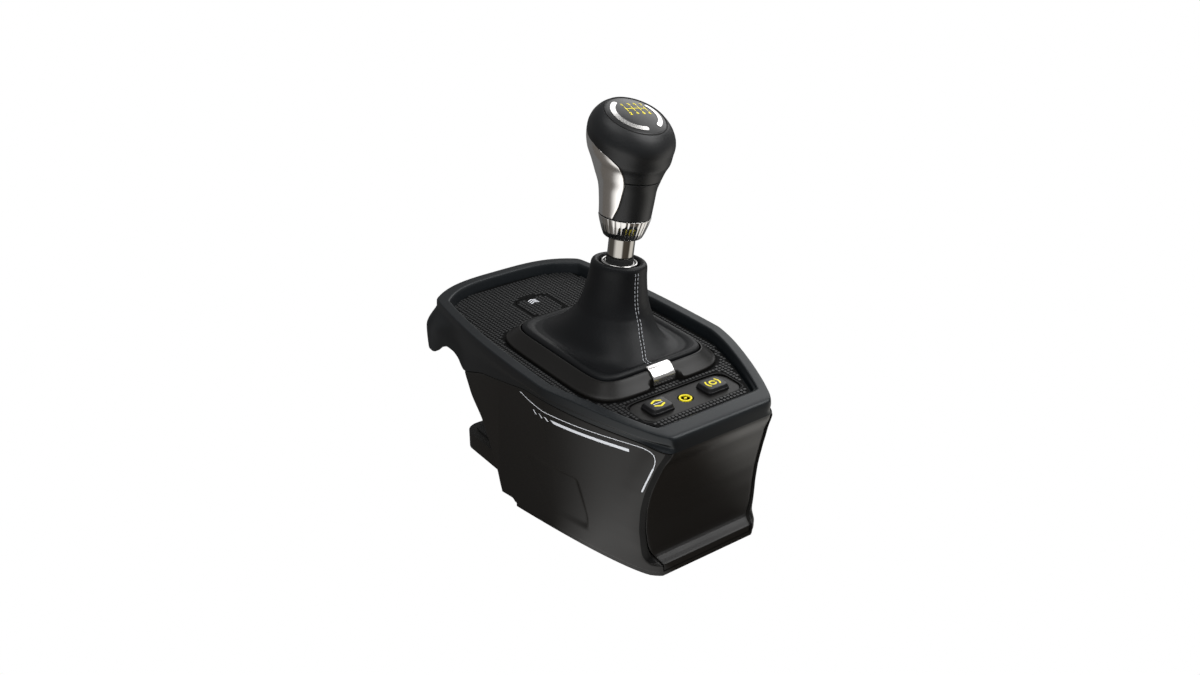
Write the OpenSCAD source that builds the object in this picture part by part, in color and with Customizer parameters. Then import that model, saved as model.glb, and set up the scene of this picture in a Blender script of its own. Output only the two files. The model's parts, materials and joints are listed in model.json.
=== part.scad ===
// Gear shifter for driving simulators: an H-pattern lever in a housing that clamps to a desk
// Frame: +X is the driver's right, +Y points away from the driver, +Z is up
// The origin is the middle of the foot's underside

/* [Foot] */
// Length of the foot that stands on a surface
foot_len = 108; // [100:1:114]
// Width of the foot at its front edge
foot_front_w = 68; // [66:1:72]
// Width of the foot at the back of the housing
foot_back_w = 132; // [126:1:136]
// Thickness of the base plate
base_t = 2.5; // [2:0.1:3]
// Step by which the housing's underside rises behind the foot
rear_step = 4.6; // [4:0.1:6]
// Spacing of the base bolts across the foot
bolt_x = 60; // [54:1:64]
// Spacing of the base bolts along the foot
bolt_y = 60; // [54:1:64]
// Diameter of the base bolt holes
bolt_hole_d = 6.6; // [6.2:0.1:7]

/* [Tray] */
// Height of the tray's rim above the surface
rim_z = 100.5; // [98.5:0.5:103]
// Length of the tray along the middle
tray_len = 236; // [232:1:240]
// Width of the tray at its front lip
tray_front_w = 69; // [67:1:71]
// Width of the tray at its shoulders
tray_shoulder_w = 131; // [127:1:135]
// Width of the tray between its back corners
tray_back_w = 110; // [106:1:114]
// Distance from the front lip to the shoulders
shoulder_t = 81; // [76:1:86]
// Bow of the tray's back edge
back_bow = 15.5; // [13:0.5:18]
// Depth of the deck below the rim
deck_drop = 6; // [5:0.1:7]
// Thickness of the deck inlay
deck_t = 2.5; // [2:0.1:3]
// Height of the hook at the back, from rim to tip
hook_h = 35.5; // [33:0.5:37]
// Wall of the mouldings
wall = 2.6; // [2.2:0.1:3]
// Gap at the joints between mouldings
seam = 0.25; // [0.2:0.05:0.35]

/* [Boot] */
// Width of the boot frame
frame_w = 95.5; // [93:0.5:98]
// Length of the boot frame
frame_len = 113; // [110:1:116]
// Height of the boot frame's crest above the deck
frame_h = 8.5; // [7:0.5:10]
// Width of the clip on the boot frame
clip_w = 16; // [12:1:20]
// Diameter of the boot's rolled top
boot_top_d = 33; // [31:0.5:36]

/* [Lever] */
// Sideways lean of the lever in its right-hand lane
lean = 7.5; // [6.5:0.5:8]
// Height of the lever's pivot
pivot_z = 82; // [80:0.5:83]
// Diameter of the bright shaft
shaft_d = 15.8; // [15:0.2:16.4]
// Distance from the pivot to the boot's top ring
ring_s = 67; // [65:0.5:69]
// Distance from the pivot to the top of the collar
collar_s = 96.6; // [95:0.2:98]
// Height of the collar
collar_h = 13; // [12:0.5:14]
// Height of the knob above its collar
knob_h = 59; // [56:1:62]
// Largest diameter of the knob
knob_d = 52.7; // [50:0.5:55]
// Diameter of the knob's neck
neck_d = 31.2; // [30:0.2:32]
// Diameter of the badge on the knob
badge_d = 38.6; // [34:0.2:39]
// Forward swing of the lever either way
shift_deg = 9; // [7:0.5:9]

/* [Keys] */
// Width of a key
key_w = 15.5; // [14:0.5:17]
// Length of a key
key_l = 13; // [11:0.5:14]
// Distance of the keys from the middle
key_x = 20; // [18:0.5:21]
// Travel of a key
key_travel = 1.2; // [1:0.1:1.5]
// Width of the release tab
tab_w = 23; // [20:0.5:26]
// Length of the release tab
tab_l = 30; // [27:0.5:31]
// Travel of the release tab
tab_travel = 1.5; // [1:0.1:2]

/* [Clamp] */
// Width of the clamp jaw
jaw_w = 110; // [104:1:112]
// Thickness of the clamp jaw
jaw_t = 11.5; // [10:0.5:12.5]
// Travel of the clamp jaw
jaw_travel = 34; // [28:1:35]
// Diameter of the guide rods
rod_d = 10; // [8:0.5:11]
// Spacing of the guide rods
rod_x = 64; // [58:1:68]
// Diameter of the clamp screw
screw_d = 10; // [8:0.5:11]
// Running clearance of sliding and turning pieces, on the radius
run = 0.3; // [0.2:0.05:0.4]

/* [Hidden] */
$fn = 48;

// Distances t run back from the front lip, whose place in the frame is front_y
lip_over = 8;
front_y = -foot_len / 2 - lip_over;
foot_end_t = lip_over + foot_len;
corner_t = tray_len - back_bow;
rear_t = foot_end_t + 8.5;
wing_t = 0.7373 * tray_len;
wing_l = wing_t - foot_end_t;
deck_z = rim_z - deck_drop;
ledge_z = deck_z - deck_t;
ledge_t = 2;
hook_z = rim_z - hook_h;
arch_z = hook_z + 12;
parting_z = rim_z - 31;
lip_z = rim_z - 14.5;
corner_r = 5.5;
frame_c = foot_end_t - 10;
pivot_y = foot_len / 2 - 8;
pivot_t = pivot_y - front_y;

// Helpers for curves
function mix(a, b, u) = a + (b - a) * u;
function clip(u) = max(0, min(1, u));
function ease(u) = let (c = clip(u)) c * c * (3 - 2 * c);
function soft(table, x, w) = (lookup(x - w, table) + 2 * lookup(x, table) + lookup(x + w, table)) / 4;
function at(x, t, z) = [x, front_y + t, z];
function flat(lists) = [for (l = lists) each l];
function oval(a, b, n, deg) = [a * sign(cos(deg)) * pow(abs(cos(deg)), 2 / n),
  b * sign(sin(deg)) * pow(abs(sin(deg)), 2 / n)];

// Half width of the tray's rim at a distance t from the front lip
function rim_half(t) = t < shoulder_t
  ? let (u = clip(t / shoulder_t)) mix(tray_front_w, tray_shoulder_w, (u + sin(90 * u)) / 2) / 2
  : let (v = clip((t - shoulder_t) / (corner_t - shoulder_t)))
    mix(tray_shoulder_w, tray_back_w, pow(v, 2.6)) / 2;
// Half width of the housing where it meets the foot
function foot_half(t) =
  mix(foot_front_w, foot_back_w, pow(clip((t - lip_over) / (foot_len + 14)), 0.565)) / 2;
// The front edge swings back to a waist and out again to the foot's lip
waist_t = lip_over + 7.9;
function front_t(z) = soft([[0, lip_over], [0.035, lip_over], [0.075, waist_t - 3.4], [0.115, waist_t - 1.2],
  [0.22, waist_t - 0.7], [0.36, waist_t], [0.51, waist_t - 1.1], [0.61, waist_t - 3], [0.69, waist_t - 4.9],
  [0.76, waist_t - 7], [0.88, 5.3], [0.95, 2.3], [1, 0.4]], z / lip_z, 0.023);
// Half width of the front panel, widest at the waist
foot_half_w = foot_front_w / 2;
function panel_half(z) = soft([[0, foot_half_w], [0.035, foot_half_w], [0.086, foot_half_w + 2.3],
  [0.22, foot_half_w + 6], [0.33, foot_half_w + 7.2], [0.51, foot_half_w + 7.7], [0.64, foot_half_w + 7.4],
  [0.76, foot_half_w + 6.3], [0.88, foot_half_w + 4.7], [1, tray_front_w / 2 + 2]], z / lip_z, 0.023);
// The back edge of the side wings runs down and forward from the desk edge to the foot
function back_t(z) = foot_end_t + wing_l * soft([[0, 0.215], [0.06, 0.215], [0.27, 0.3], [0.47, 0.43], [0.66, 0.605],
  [0.8, 0.83], [1, 1]], z / parting_z, 0.03);
// Lower edge of the tray's skirt, which is also the top edge of the side shells
function skirt_z(t) = lookup(t, [[0, lip_z], [shoulder_t, rim_z - 8.5], [shoulder_t + 19, rim_z - 10],
  [wing_t - 24, rim_z - 21.5], [wing_t, parting_z], [wing_t + 3, parting_z + 1], [wing_t + 8, arch_z - 2],
  [wing_t + 14, arch_z], [wing_t + 23, arch_z], [wing_t + 31, arch_z - 4], [wing_t + 38, hook_z + 2],
  [wing_t + 43, hook_z], [tray_len + 20, hook_z]]);
function shell_z(t) = t < wing_t ? skirt_z(t) : parting_z;
// Depth of the shallow three-cornered scoop in each flank
scoop_depth = 2.2;
function scoop(t, z) = let (a = clip((104 - t - (47 - z) * 0.6) / 40),
    b = ease((t - 53 - 0.25 * max(0, z - 22)) / 5), c = ease((z - 12) / 5) * ease((48 - z) / 4))
  scoop_depth * a * b * c;
// Outer half width of the housing: the plan of foot and rim, or the cheeks beside the front panel where wider
cheek_w = 6.5;
cheek_l = 9;
function plan_half(t, z) = mix(foot_half(t), rim_half(t), ease(z / rim_z));
function cheek_half(t, z) = panel_half(z) + cheek_w * (1 - exp(-max(0, t - front_t(z)) / cheek_l));
function wider(a, b) = (a + b + sqrt((a - b) * (a - b) + 4)) / 2;
function side_full(t, z) = wider(plan_half(t, z), cheek_half(t, z));
function wrap(t, z) = let (d = clip((t - front_t(z)) / corner_r)) 1 - sqrt(1 - (1 - d) * (1 - d));
function side_half(t, z) = let (f = side_full(t, z)) f - (f - panel_half(z)) * wrap(t, z) - scoop(t, z);
// The tray's skirt bellies out round the back and draws in again to the hook's edge
rear_flare = 3;
rear_belly = 5.5;
function round_back(t) = ease((t - wing_t) / 40);

// Right half of a loop round the tray, from front middle to back middle
side_steps = 34;
back_steps = 7;
function half_loop(half, f, b) = let (w = half(f), e = corner_t - b, x = half(e)) concat(
  [for (k = [0 : 3]) [w * k / 4, f]],
  [for (k = [0 : side_steps]) let (t = mix(f, e, pow(k / side_steps, 1.08))) [half(t), t]],
  [for (k = [1 : back_steps]) let (u = 1 - k / back_steps) [x * u, e + back_bow * (1 - u * u * u)]]);
function mirrored(r) = [for (k = [len(r) - 2 : -1 : 1]) [-r[k][0], r[k][1]]];
function loop(half, f, b) = let (r = half_loop(half, f, b)) concat(r, mirrored(r));
// A loop lifted to a height that follows its own t
function lifted(l, height) = [for (p = l) at(p[0], p[1], height(p[1]))];

// Closed band: rows of loops that also close on each other, listed up the outside and down the inside
module band_solid(rows) {
  n = len(rows);
  m = len(rows[0]);
  faces = [for (k = [0 : n - 1], i = [0 : m - 1])
    let (a = k * m + i, b = (k + 1) % n * m + i, c = (k + 1) % n * m + (i + 1) % m, d = k * m + (i + 1) % m)
    each [[a, b, c], [a, c, d]]];
  polyhedron(flat(rows), faces);
}
// Shell between an outer and an inner grid of the same size, rows listed upward
module shell_solid(outer, inner) {
  n = len(outer);
  m = len(outer[0]);
  rows = [for (k = [0 : n - 1]) concat(outer[k], [for (i = [m - 1 : -1 : 0]) inner[k][i]])];
  w = 2 * m;
  walls = [for (k = [0 : n - 2], i = [0 : w - 1])
    let (a = k * w + i, b = a + w, d = k * w + (i + 1) % w, c = d + w) each [[a, b, c], [a, c, d]]];
  top = (n - 1) * w;
  ends = [for (i = [0 : m - 2]) let (p = i, q = i + 1, r = w - 2 - i, s = w - 1 - i)
    each [[p, q, r], [p, r, s], [top + r, top + q, top + p], [top + s, top + r, top + p]]];
  polyhedron(flat(rows), concat(walls, ends));
}
// Coil of wire round +Z, starting at z = 0
module coil(radius, wire, pitch, turns) {
  n = 8 * turns;
  ring = [for (k = [0 : n]) let (a = 45 * k) [for (j = [0 : 5])
    let (r = radius + wire / 2 * cos(60 * j)) [r * cos(a), r * sin(a), pitch * k / 8 + wire / 2 * sin(60 * j)]]];
  sides = [for (k = [0 : n - 1], j = [0 : 5])
    let (a = 6 * k + j, b = 6 * k + (j + 1) % 6) each [[a, a + 6, b + 6], [a, b + 6, b]]];
  ends = [for (j = [1 : 4]) each [[0, j, j + 1], [6 * n, 6 * n + j + 1, 6 * n + j]]];
  polyhedron(flat(ring), concat(sides, ends));
}
// Flat plate with round corners, centred, standing on z = 0
module round_plate(w, l, h, r) {
  linear_extrude(h) union() {
    square([w - 2 * r, l], center = true);
    square([w, l - 2 * r], center = true);
    for (x = [-1, 1], y = [-1, 1]) translate([x * (w / 2 - r), y * (l / 2 - r)]) circle(r);
  }
}
module ring_of(outer, inner, h) {
  difference() {
    cylinder(r = outer, h = h);
    translate([0, 0, -1]) cylinder(r = inner, h = h + 2);
  }
}

// Foot and casing
bolt_boss_h = 9;
base_inset = 0.6;
module base_outline(end) {
  ts = [for (k = [0 : 24]) mix(lip_over + 0.4, end, pow(k / 24, 1.5))];
  right = [for (t = ts) [side_half(t, base_t) - base_inset, front_y + t]];
  polygon(concat(right, [for (k = [len(right) - 1 : -1 : 0]) [-right[k][0], right[k][1]]]));
}
pad_d = 14;
pad_t = 1.2;
module pad_places() {
  for (x = [-1, 1]) {
    translate([x * (foot_front_w / 2 - pad_d), -foot_len / 2 + 0.75 * pad_d]) children();
    translate([x * (foot_back_w / 2 - pad_d), foot_len / 2 - pad_d]) children();
  }
}
module base_plate() {
  color("#1b1c1e") difference() {
    union() {
      linear_extrude(base_t) base_outline(foot_end_t);
      translate([-foot_back_w / 2 + 8, foot_len / 2 - 3, 0]) cube([foot_back_w - 16, 3, rear_step + base_t]);
      translate([-foot_back_w / 2 + 8, foot_len / 2 - 3, rear_step])
        cube([foot_back_w - 16, rear_t + wall - foot_end_t + 3, base_t]);
      for (x = [-1, 1], y = [-1, 1]) translate([x * bolt_x / 2, y * bolt_y / 2, 0])
        cylinder(d = bolt_hole_d + 7, h = bolt_boss_h);
      board_corners() cylinder(r = 3, h = main_z);
    }
    for (p = chassis_screws) translate([p[0], p[1], -1]) {
      cylinder(r = chassis_screw_r, h = 20);
      cylinder(r = screw_head_r + 0.2, h = screw_head_z + screw_head_h + 1);
    }
    for (x = [-1, 1], y = [-1, 1]) translate([x * bolt_x / 2, y * bolt_y / 2, -1])
      cylinder(d = bolt_hole_d, h = bolt_boss_h + 2);
    pad_places() translate([0, 0, -1]) cylinder(d = pad_d + 0.2, h = pad_t + 1);
  }
}
module foot_pads() {
  color("#2a2a2a") pad_places() cylinder(d = pad_d, h = pad_t);
}
shell_cols = 26;
shell_rows = 18;
function shell_spot(u, v) = let (low_z = base_t + seam, rear_z = rear_step + seam,
    t = mix(front_t(mix(low_z, lip_z, v)), back_t(mix(rear_z, parting_z, v)), u),
    low = mix(low_z, rear_z, ease((t - foot_end_t) / 3)), high = mix(lip_z, parting_z, u))
  [t, mix(low, high, v) + pow(v, 4) * (shell_z(t) - seam - high)];
module side_shell() {
  us = [for (i = [0 : shell_cols]) pow(i / shell_cols, 1.5)];
  spots = [for (k = [0 : shell_rows]) [for (u = us) shell_spot(u, pow(k / shell_rows, 1.35))]];
  outer = [for (row = spots) [for (p = row) at(side_half(p[0], p[1]), p[0], p[1])]];
  inner = [for (row = spots) [for (p = row) let (k = 1 - clip((p[0] - front_t(p[1])) / (2 * wall)))
    at(side_half(p[0], p[1]) - wall * (1 - 0.6 * k), p[0] + wall * k, p[1])]];
  color("#202123") shell_solid(outer, inner);
}
module right_shell() {
  side_shell();
}
module left_shell() {
  mirror([1, 0, 0]) side_shell();
}
panel_inset = 0.5;
module front_panel() {
  zs = [for (k = [0 : 24]) mix(base_t + seam, lip_z - seam, pow(k / 24, 1.25))];
  half = function (z) panel_half(z) - 0.4 * wall - seam;
  skin = function (d) [for (z = zs) [for (k = [-1, 1]) at(k * half(z), front_t(z) + panel_inset + d, z)]];
  color("#242527") shell_solid(skin(0), skin(wall));
}
module rear_cover() {
  low = rear_step + base_t;
  high = ledge_z - ledge_t - seam;
  zs = [for (k = [0 : 8]) mix(low, high, k / 8)];
  right = [for (z = zs) [side_half(rear_t, min(z, shell_z(rear_t) - 2)) - wall - seam - 0.6, z]];
  left = [for (k = [8 : -1 : 0]) [-right[k][0], right[k][1]]];
  color("#18191a") translate([0, front_y + rear_t + wall, 0]) rotate([90, 0, 0]) difference() {
    linear_extrude(wall) polygon(concat(right, left));
    translate([usb_x, usb_z, -1]) linear_extrude(wall + 2)
      square([usb_w + 2 * seam, usb_h + 2 * seam], center = true);
  }
}
// The rim's rolled front lip replaces its wall, so sizes blend from side to front
function frontness(t) = 1 - ease((t - 3) / 16);
rim_drop = 3.5;
function rim_height(t) = rim_z - rim_drop * (1 - ease(t / 70));
module top_tray() {
  skirt = function (t) side_half(t, min(skirt_z(t), rim_z)) + rear_flare * round_back(t);
  belly = function (t) rim_half(t) + rear_belly * round_back(t);
  waist = function (t) mix(skirt_z(t), rim_height(t) - mix(4.5, 7.5, frontness(t)), 0.5);
  in = function (d) function (t) rim_half(t) - d;
  step = function (side, front) function (t) rim_height(t) - mix(side, front, frontness(t));
  level = function (z) function (t) z;
  low = function (t) skirt_z(t);
  color("#26292d") band_solid([
    lifted(loop(skirt, 0, -rear_flare), low),
    lifted(loop(belly, 0.4, -rear_belly), waist),
    lifted(loop(in(-0.3), 1.2, -0.6), step(4.5, 7.5)),
    lifted(loop(in(0.6), 4.5, 0.6), step(0.8, 4.2)),
    lifted(loop(in(1.8), 8, 1.8), step(0, 1.7)),
    lifted(loop(in(5), 12.5, 5.5), step(0.2, 0)),
    lifted(loop(in(8.8), 15.4, 9.8), level(deck_z)),
    lifted(loop(in(9), 15.6, 10), level(ledge_z)),
    lifted(loop(in(15), 21, 16), level(ledge_z)),
    lifted(loop(in(15), 21, 16), level(ledge_z - ledge_t)),
    lifted(loop(in(wall + 1), 5, wall + 1), level(ledge_z - ledge_t)),
    lifted(loop(function (t) skirt(t) - wall, wall, wall - rear_flare), low)]);
}

// Deck, keys and release tab
panel_t = lip_over + 25.5;
panel_w = 70;
panel_l = 23;
panel_r = 9;
panel_drop = 0.8;
panel_y = front_y + panel_t;
tab_gap = 3.5;
tab_y = front_y + frame_c + frame_len / 2 + tab_gap + tab_l / 2;
tab_r = 6;
boot_hole = [36, 45];
function oval_ring(a, b, n, z) = [for (k = [0 : 55]) let (p = oval(a, b, n, 360 * k / 56)) at(p[0], frame_c + p[1], z)];
module deck_inlay() {
  half = function (t) rim_half(t) - 9 - seam;
  edge = [for (p = loop(half, 15.6 + seam, 10 + seam)) [p[0], front_y + p[1]]];
  hole = [for (p = oval_ring(boot_hole[0], boot_hole[1], 4, 0)) [p[0], p[1]]];
  color("#2b2d30") difference() {
    translate([0, 0, ledge_z]) linear_extrude(deck_t) polygon(edge);
    translate([0, 0, ledge_z - 1]) linear_extrude(deck_t + 2) polygon(hole);
    translate([0, panel_y, ledge_z - 1]) round_plate(panel_w + 2 * seam, panel_l + 2 * seam, deck_t + 2, panel_r);
    translate([0, tab_y, ledge_z - 1]) round_plate(tab_w + 2 * run, tab_l + 2 * run, deck_t + 2, tab_r);
  }
}
key_flange = 1.2;
board_z = ledge_z - 8;
board_t = 1.6;
lens_d = 9;
module key_places() {
  for (x = [-1, 1]) translate([x * key_x, panel_y, 0]) children();
}
module button_panel() {
  post_d = 4;
  color("#2f3134") difference() {
    union() {
      translate([0, panel_y, ledge_z]) round_plate(panel_w, panel_l, deck_t - panel_drop, panel_r);
      for (x = [-1, 1], y = [-1, 1])
        translate([x * 8, panel_y + y * (panel_l / 2 - 3), board_z + board_t])
          cylinder(d = post_d, h = ledge_z - board_z - board_t + 0.5);
    }
    key_places() translate([0, 0, ledge_z - 1]) round_plate(key_w + 2 * run, key_l + 2 * run, deck_t + 2, 2.5);
    translate([0, panel_y, ledge_z - 1]) cylinder(d = lens_d + 2 * seam, h = deck_t + 2);
  }
}
key_top = 2.6;
module key(x) {
  color("#232427") translate([x, panel_y, 0]) {
    translate([0, 0, ledge_z - run]) round_plate(key_w, key_l, deck_z + key_top - 0.8 - ledge_z + run, 2.5);
    translate([0, 0, deck_z + key_top - 0.8]) round_plate(key_w - 1.6, key_l - 1.6, 0.8, 2);
    translate([0, 0, ledge_z - run - key_flange]) round_plate(key_w + 1.8, key_l + 1.8, key_flange, 2.5);
  }
}
module left_key() {
  key(-key_x);
}
module right_key() {
  key(key_x);
}
module indicator_lens() {
  color("#e6d93a") translate([0, panel_y, 0]) {
    translate([0, 0, ledge_z]) cylinder(d = lens_d, h = deck_t - panel_drop + 0.3);
    translate([0, 0, board_z + board_t]) cylinder(d = 4, h = ledge_z - board_z - board_t);
  }
}
module key_board() {
  color("#1f5a3a") translate([0, panel_y, board_z]) round_plate(56, panel_l - 1, board_t, 2);
}
switch_clear = 0.35;
module key_switches() {
  top = ledge_z - run - key_flange - key_travel - switch_clear;
  color("#3a3a3c") key_places() {
    translate([-3, -3, board_z + board_t]) cube([6, 6, top - board_z - board_t - 0.8]);
    translate([0, 0, top - 0.8]) cylinder(d = 3.4, h = 0.8);
  }
}
tab_flange = 1.2;
module release_tab() {
  color("#2b2d30") translate([0, tab_y, 0]) {
    translate([0, 0, ledge_z - run]) round_plate(tab_w, tab_l, deck_t + run, tab_r);
    translate([0, 0, ledge_z - run - tab_flange]) round_plate(tab_w + 2, tab_l - 6, tab_flange, 2);
  }
}
tab_spring_h = 9.6;
tab_spring_wire = 0.9;
tab_spring_y = tab_y + 6;
module tab_spring() {
  turns = 6;
  rise = (tab_spring_h - 1.2 * tab_spring_wire) / turns;
  color("silver") translate([0, tab_spring_y, ledge_z - run - tab_flange - tab_spring_h + 0.6 * tab_spring_wire])
    coil(3.6, tab_spring_wire, rise, turns);
}

// Boot frame, clip and boot
crest_z = deck_z + frame_h;
module boot_frame() {
  a = frame_w / 2;
  b = frame_len / 2;
  color("#303235") band_solid([
    oval_ring(a, b, 5.5, deck_z), oval_ring(a, b, 5.5, deck_z + 1.6), oval_ring(a - 1, b - 1, 5.5, deck_z + 2.6),
    oval_ring(a - 6.6, b - 7, 6.5, crest_z - 0.6), oval_ring(a - 7.8, b - 8.5, 7, crest_z),
    oval_ring(a - 8.8, b - 9.5, 8, crest_z - 0.6), oval_ring(a - 9.15, b - 9.9, 8, deck_z + 2),
    oval_ring(a - 7, b - 7.5, 7, deck_z)]);
}
clip_t = 1.4;
module frame_clip() {
  f = front_y + frame_c - frame_len / 2;
  g = 0.3;
  inner = [[f - g, deck_z + 0.1], [f - g, deck_z + 1.6], [f + 0.6, deck_z + 2.6 + g],
    [f + 6.8, crest_z - 0.6 + g], [f + 8.5, crest_z + g], [f + 9.7, crest_z + g]];
  outer = [[f + 9.7, crest_z + g + clip_t], [f + 8.1, crest_z + g + clip_t], [f + 6, crest_z - 0.2 + clip_t],
    [f - 0.5, deck_z + 3 + clip_t], [f - g - clip_t, deck_z + 2.2], [f - g - clip_t, deck_z + 0.1]];
  color("#c9ccd0") translate([-clip_w / 2, 0, 0]) rotate([90, 0, 90]) linear_extrude(clip_w)
    polygon(concat(inner, outer));
}
// Boot sections run from v = 0 at the frame to v = 1 at the rolled top
boot_low = crest_z - 1;
boot_high = pivot_z + ring_s * cos(lean);
boot_skin = 1.8;
boot_top_r = boot_top_d / 2;
function boot_x(v) = lookup(v, [[0, frame_w / 2 - 9.75], [0.036, frame_w / 2 - 10.75], [0.045, 34.5],
  [0.06, 32.3], [0.09, 30.3], [0.16, 27.2], [0.27, 23.8], [0.4, 21.5], [0.56, 19.6], [0.74, boot_top_r + 1.7], [0.9, boot_top_r + 0.6],
  [1, boot_top_r]]);
function boot_y(v) = boot_x(v) + (frame_len - frame_w) / 2 * 0.91 * (1 - ease(v / 0.3));
function boot_loop(v, inset) = let (n = 2 + 5.5 * pow(1 - clip(v / 0.14), 2), tilt = lean * ease(v * 1.2),
    z = mix(boot_low, boot_high, v), cx = (z - pivot_z) * tan(lean) * ease(v * 2.2),
    cy = mix(frame_c, pivot_t, ease(v * 2)))
  [for (k = [0 : 47]) let (p = oval(boot_x(v) - inset, boot_y(v) - inset, n, 7.5 * k))
    at(cx + p[0] * cos(tilt), cy + p[1], z - p[0] * sin(tilt))];
boot_split = 0.45;
boot_bush_r = 11;
module boot_lower() {
  vs = [0, 0.036, 0.045, 0.06, 0.09, 0.16, 0.27, 0.36, boot_split];
  color("#1d1e20") band_solid(concat([for (v = vs) boot_loop(v, 0)],
    [for (k = [len(vs) - 1 : -1 : 0]) boot_loop(vs[k], boot_skin)]));
}
module boot_upper() {
  vs = [boot_split, 0.56, 0.65, 0.74, 0.82, 0.9, 0.96];
  lip = boot_top_r - boot_bush_r - 0.2;
  color("#1d1e20") band_solid(concat([for (v = vs) boot_loop(v, 0)],
    [boot_loop(0.99, 0.5), boot_loop(1.01, 1.6), boot_loop(1.01, 3), boot_loop(0.99, 4), boot_loop(0.96, lip),
     boot_loop(0.9, lip)],
    [for (k = [4 : -1 : 0]) boot_loop(vs[k], boot_skin)]));
}

// Lever, in its own frame with s along the shaft from the pivot
module on_lever() {
  translate([0, pivot_y, pivot_z]) rotate([0, lean, 0]) children();
}
module turned(points) {
  rotate_extrude() polygon(points);
}
shaft_r = shaft_d / 2;
core_r = 6;
sleeve_r = shaft_r + 0.3;
sleeve_top = ring_s + 5;
hub_h = 9;
insert_h = 24;
module boot_ring() {
  r = sleeve_r + 0.1;
  color("#d8dadd") on_lever() turned([[r, ring_s - 9], [boot_bush_r, ring_s - 9], [boot_bush_r, ring_s - 0.9],
    [boot_bush_r - 0.5, ring_s], [r + 1.4, ring_s], [r + 1.1, ring_s - 1], [r, ring_s - 1]]);
}
module ring_trim() {
  r = sleeve_r + 0.1;
  color("#e4e5e7") on_lever() translate([0, 0, ring_s - 1]) ring_of(r + 0.8, r, 1.6);
}
module shaft_sleeve() {
  low = hub_h + 2;
  color("#1a1a1b") on_lever() translate([0, 0, low]) ring_of(sleeve_r, core_r, sleeve_top - low);
}
module lever_shaft() {
  color("#d9dbde") on_lever() {
    translate([0, 0, hub_h]) cylinder(r = core_r, h = sleeve_top - hub_h);
    translate([0, 0, sleeve_top]) cylinder(r = shaft_r, h = collar_s + insert_h - 8 - sleeve_top);
  }
}
neck_r = neck_d / 2;
module knob_collar() {
  b = collar_s - collar_h;
  color("#cfd1d4") on_lever() turned([[shaft_r, b], [shaft_r + 2, b], [shaft_r + 3.6, b + 1], [neck_r - 2.4, b + 5],
    [neck_r, collar_s - 0.5], [neck_r - 0.5, collar_s], [shaft_r, collar_s]]);
}
// Knob surface: h is the height above the collar, and the head leans to the badge's tilt
knob_split = 24.5;
badge_tilt = 18;
head_shift = 3.2;
head_r = knob_d / 2;
function knob_r(h) = lookup(h / knob_h, [[0, neck_r - 0.2], [0.138, neck_r + 0.5], [0.288, neck_r + 1.5],
  [0.414, neck_r + 3.9], [0.534, mix(neck_r, head_r, 0.6)], [0.655, mix(neck_r, head_r, 0.88)],
  [0.76, head_r - 0.3], [0.82, head_r], [0.88, head_r - 0.8], [0.93, head_r - 2.6], [0.974, head_r - 4.8],
  [1, head_r - 6.6]]);
function knob_spot(h, deg, inset) = let (k = ease((h / knob_h - 0.35) / 0.6), tilt = badge_tilt * k,
    r = knob_r(h) - inset, x = r * cos(deg), y = r * sin(deg))
  [x, head_shift * ease((h / knob_h - 0.2) / 0.5) + y * cos(tilt), collar_s + h + y * sin(tilt) - 2 * k];
// Edges of the side inlays, as angles from the knob's side: positive towards the driver, negative away
inlay_top = 0.79 * knob_h;
function inlay_near(h) = lookup(h / inlay_top, [[0, 24], [0.18, 37], [0.35, 43.5], [0.488, 47], [0.615, 46.5],
  [0.71, 44], [0.815, 40], [0.86, 34.5], [0.9, 27.5], [0.925, 18], [0.946, 8], [0.962, -6], [0.973, -17],
  [0.987, -30], [1, -40]]);
function inlay_far(h) = lookup(h / inlay_top, [[0, -30], [0.2, -40], [0.42, -48], [0.63, -54], [0.8, -56],
  [0.9, -54], [0.95, -50], [1, -44]]);
inlay_t = 1.6;
knob_wall = 5;
knob_steps = [for (k = [0, 5, 10, 15, 20, 24, 28, 32, 36, 38.5, 40.5, 42, 43, 43.8, 44.5, 45, 45.4, 45.9, 47,
  48.5, 50, 51.5, 53, 54.5, 56, 57, 58]) k / 58 * knob_h];
// Angles round one ring: front and back skins at full size, side pockets sunk to hold the inlays
inlay_play = 0.6;
function knob_angles(h) = let (near = inlay_near(h) + inlay_play, far = inlay_far(h) - inlay_play,
    deep = h < inlay_top - 0.3 ? inlay_t + 0.1 : 0, e = 0.15)
  concat([for (i = [0 : 6]) [mix(-near, -far, i / 6), deep]],
    [for (i = [0 : 10]) [mix(-far + e, 180 + far - e, i / 10), 0]],
    [for (i = [0 : 6]) [mix(180 + far, 180 + near, i / 6), deep]],
    [for (i = [0 : 10]) [mix(180 + near + e, 360 - near - e, i / 10), 0]]);
function knob_outer(h) = [for (a = knob_angles(h)) knob_spot(h, a[0], a[1])];
function knob_inner(h) = [for (a = knob_angles(h)) knob_spot(h, a[0], knob_wall)];
module knob_skin(low, high) {
  hs = concat([low], [for (h = knob_steps) if (h > low + 0.5 && h < high - 0.3) h], [high]);
  on_lever() band_solid(concat([for (h = hs) knob_outer(h)],
    [for (k = [len(hs) - 1 : -1 : 0]) knob_inner(hs[k])]));
}
module knob_base() {
  color("#1e1f21") knob_skin(0.05, knob_split);
}
module knob_grip() {
  color("#1a1b1d") knob_skin(knob_split + 0.15, knob_h);
}
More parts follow.
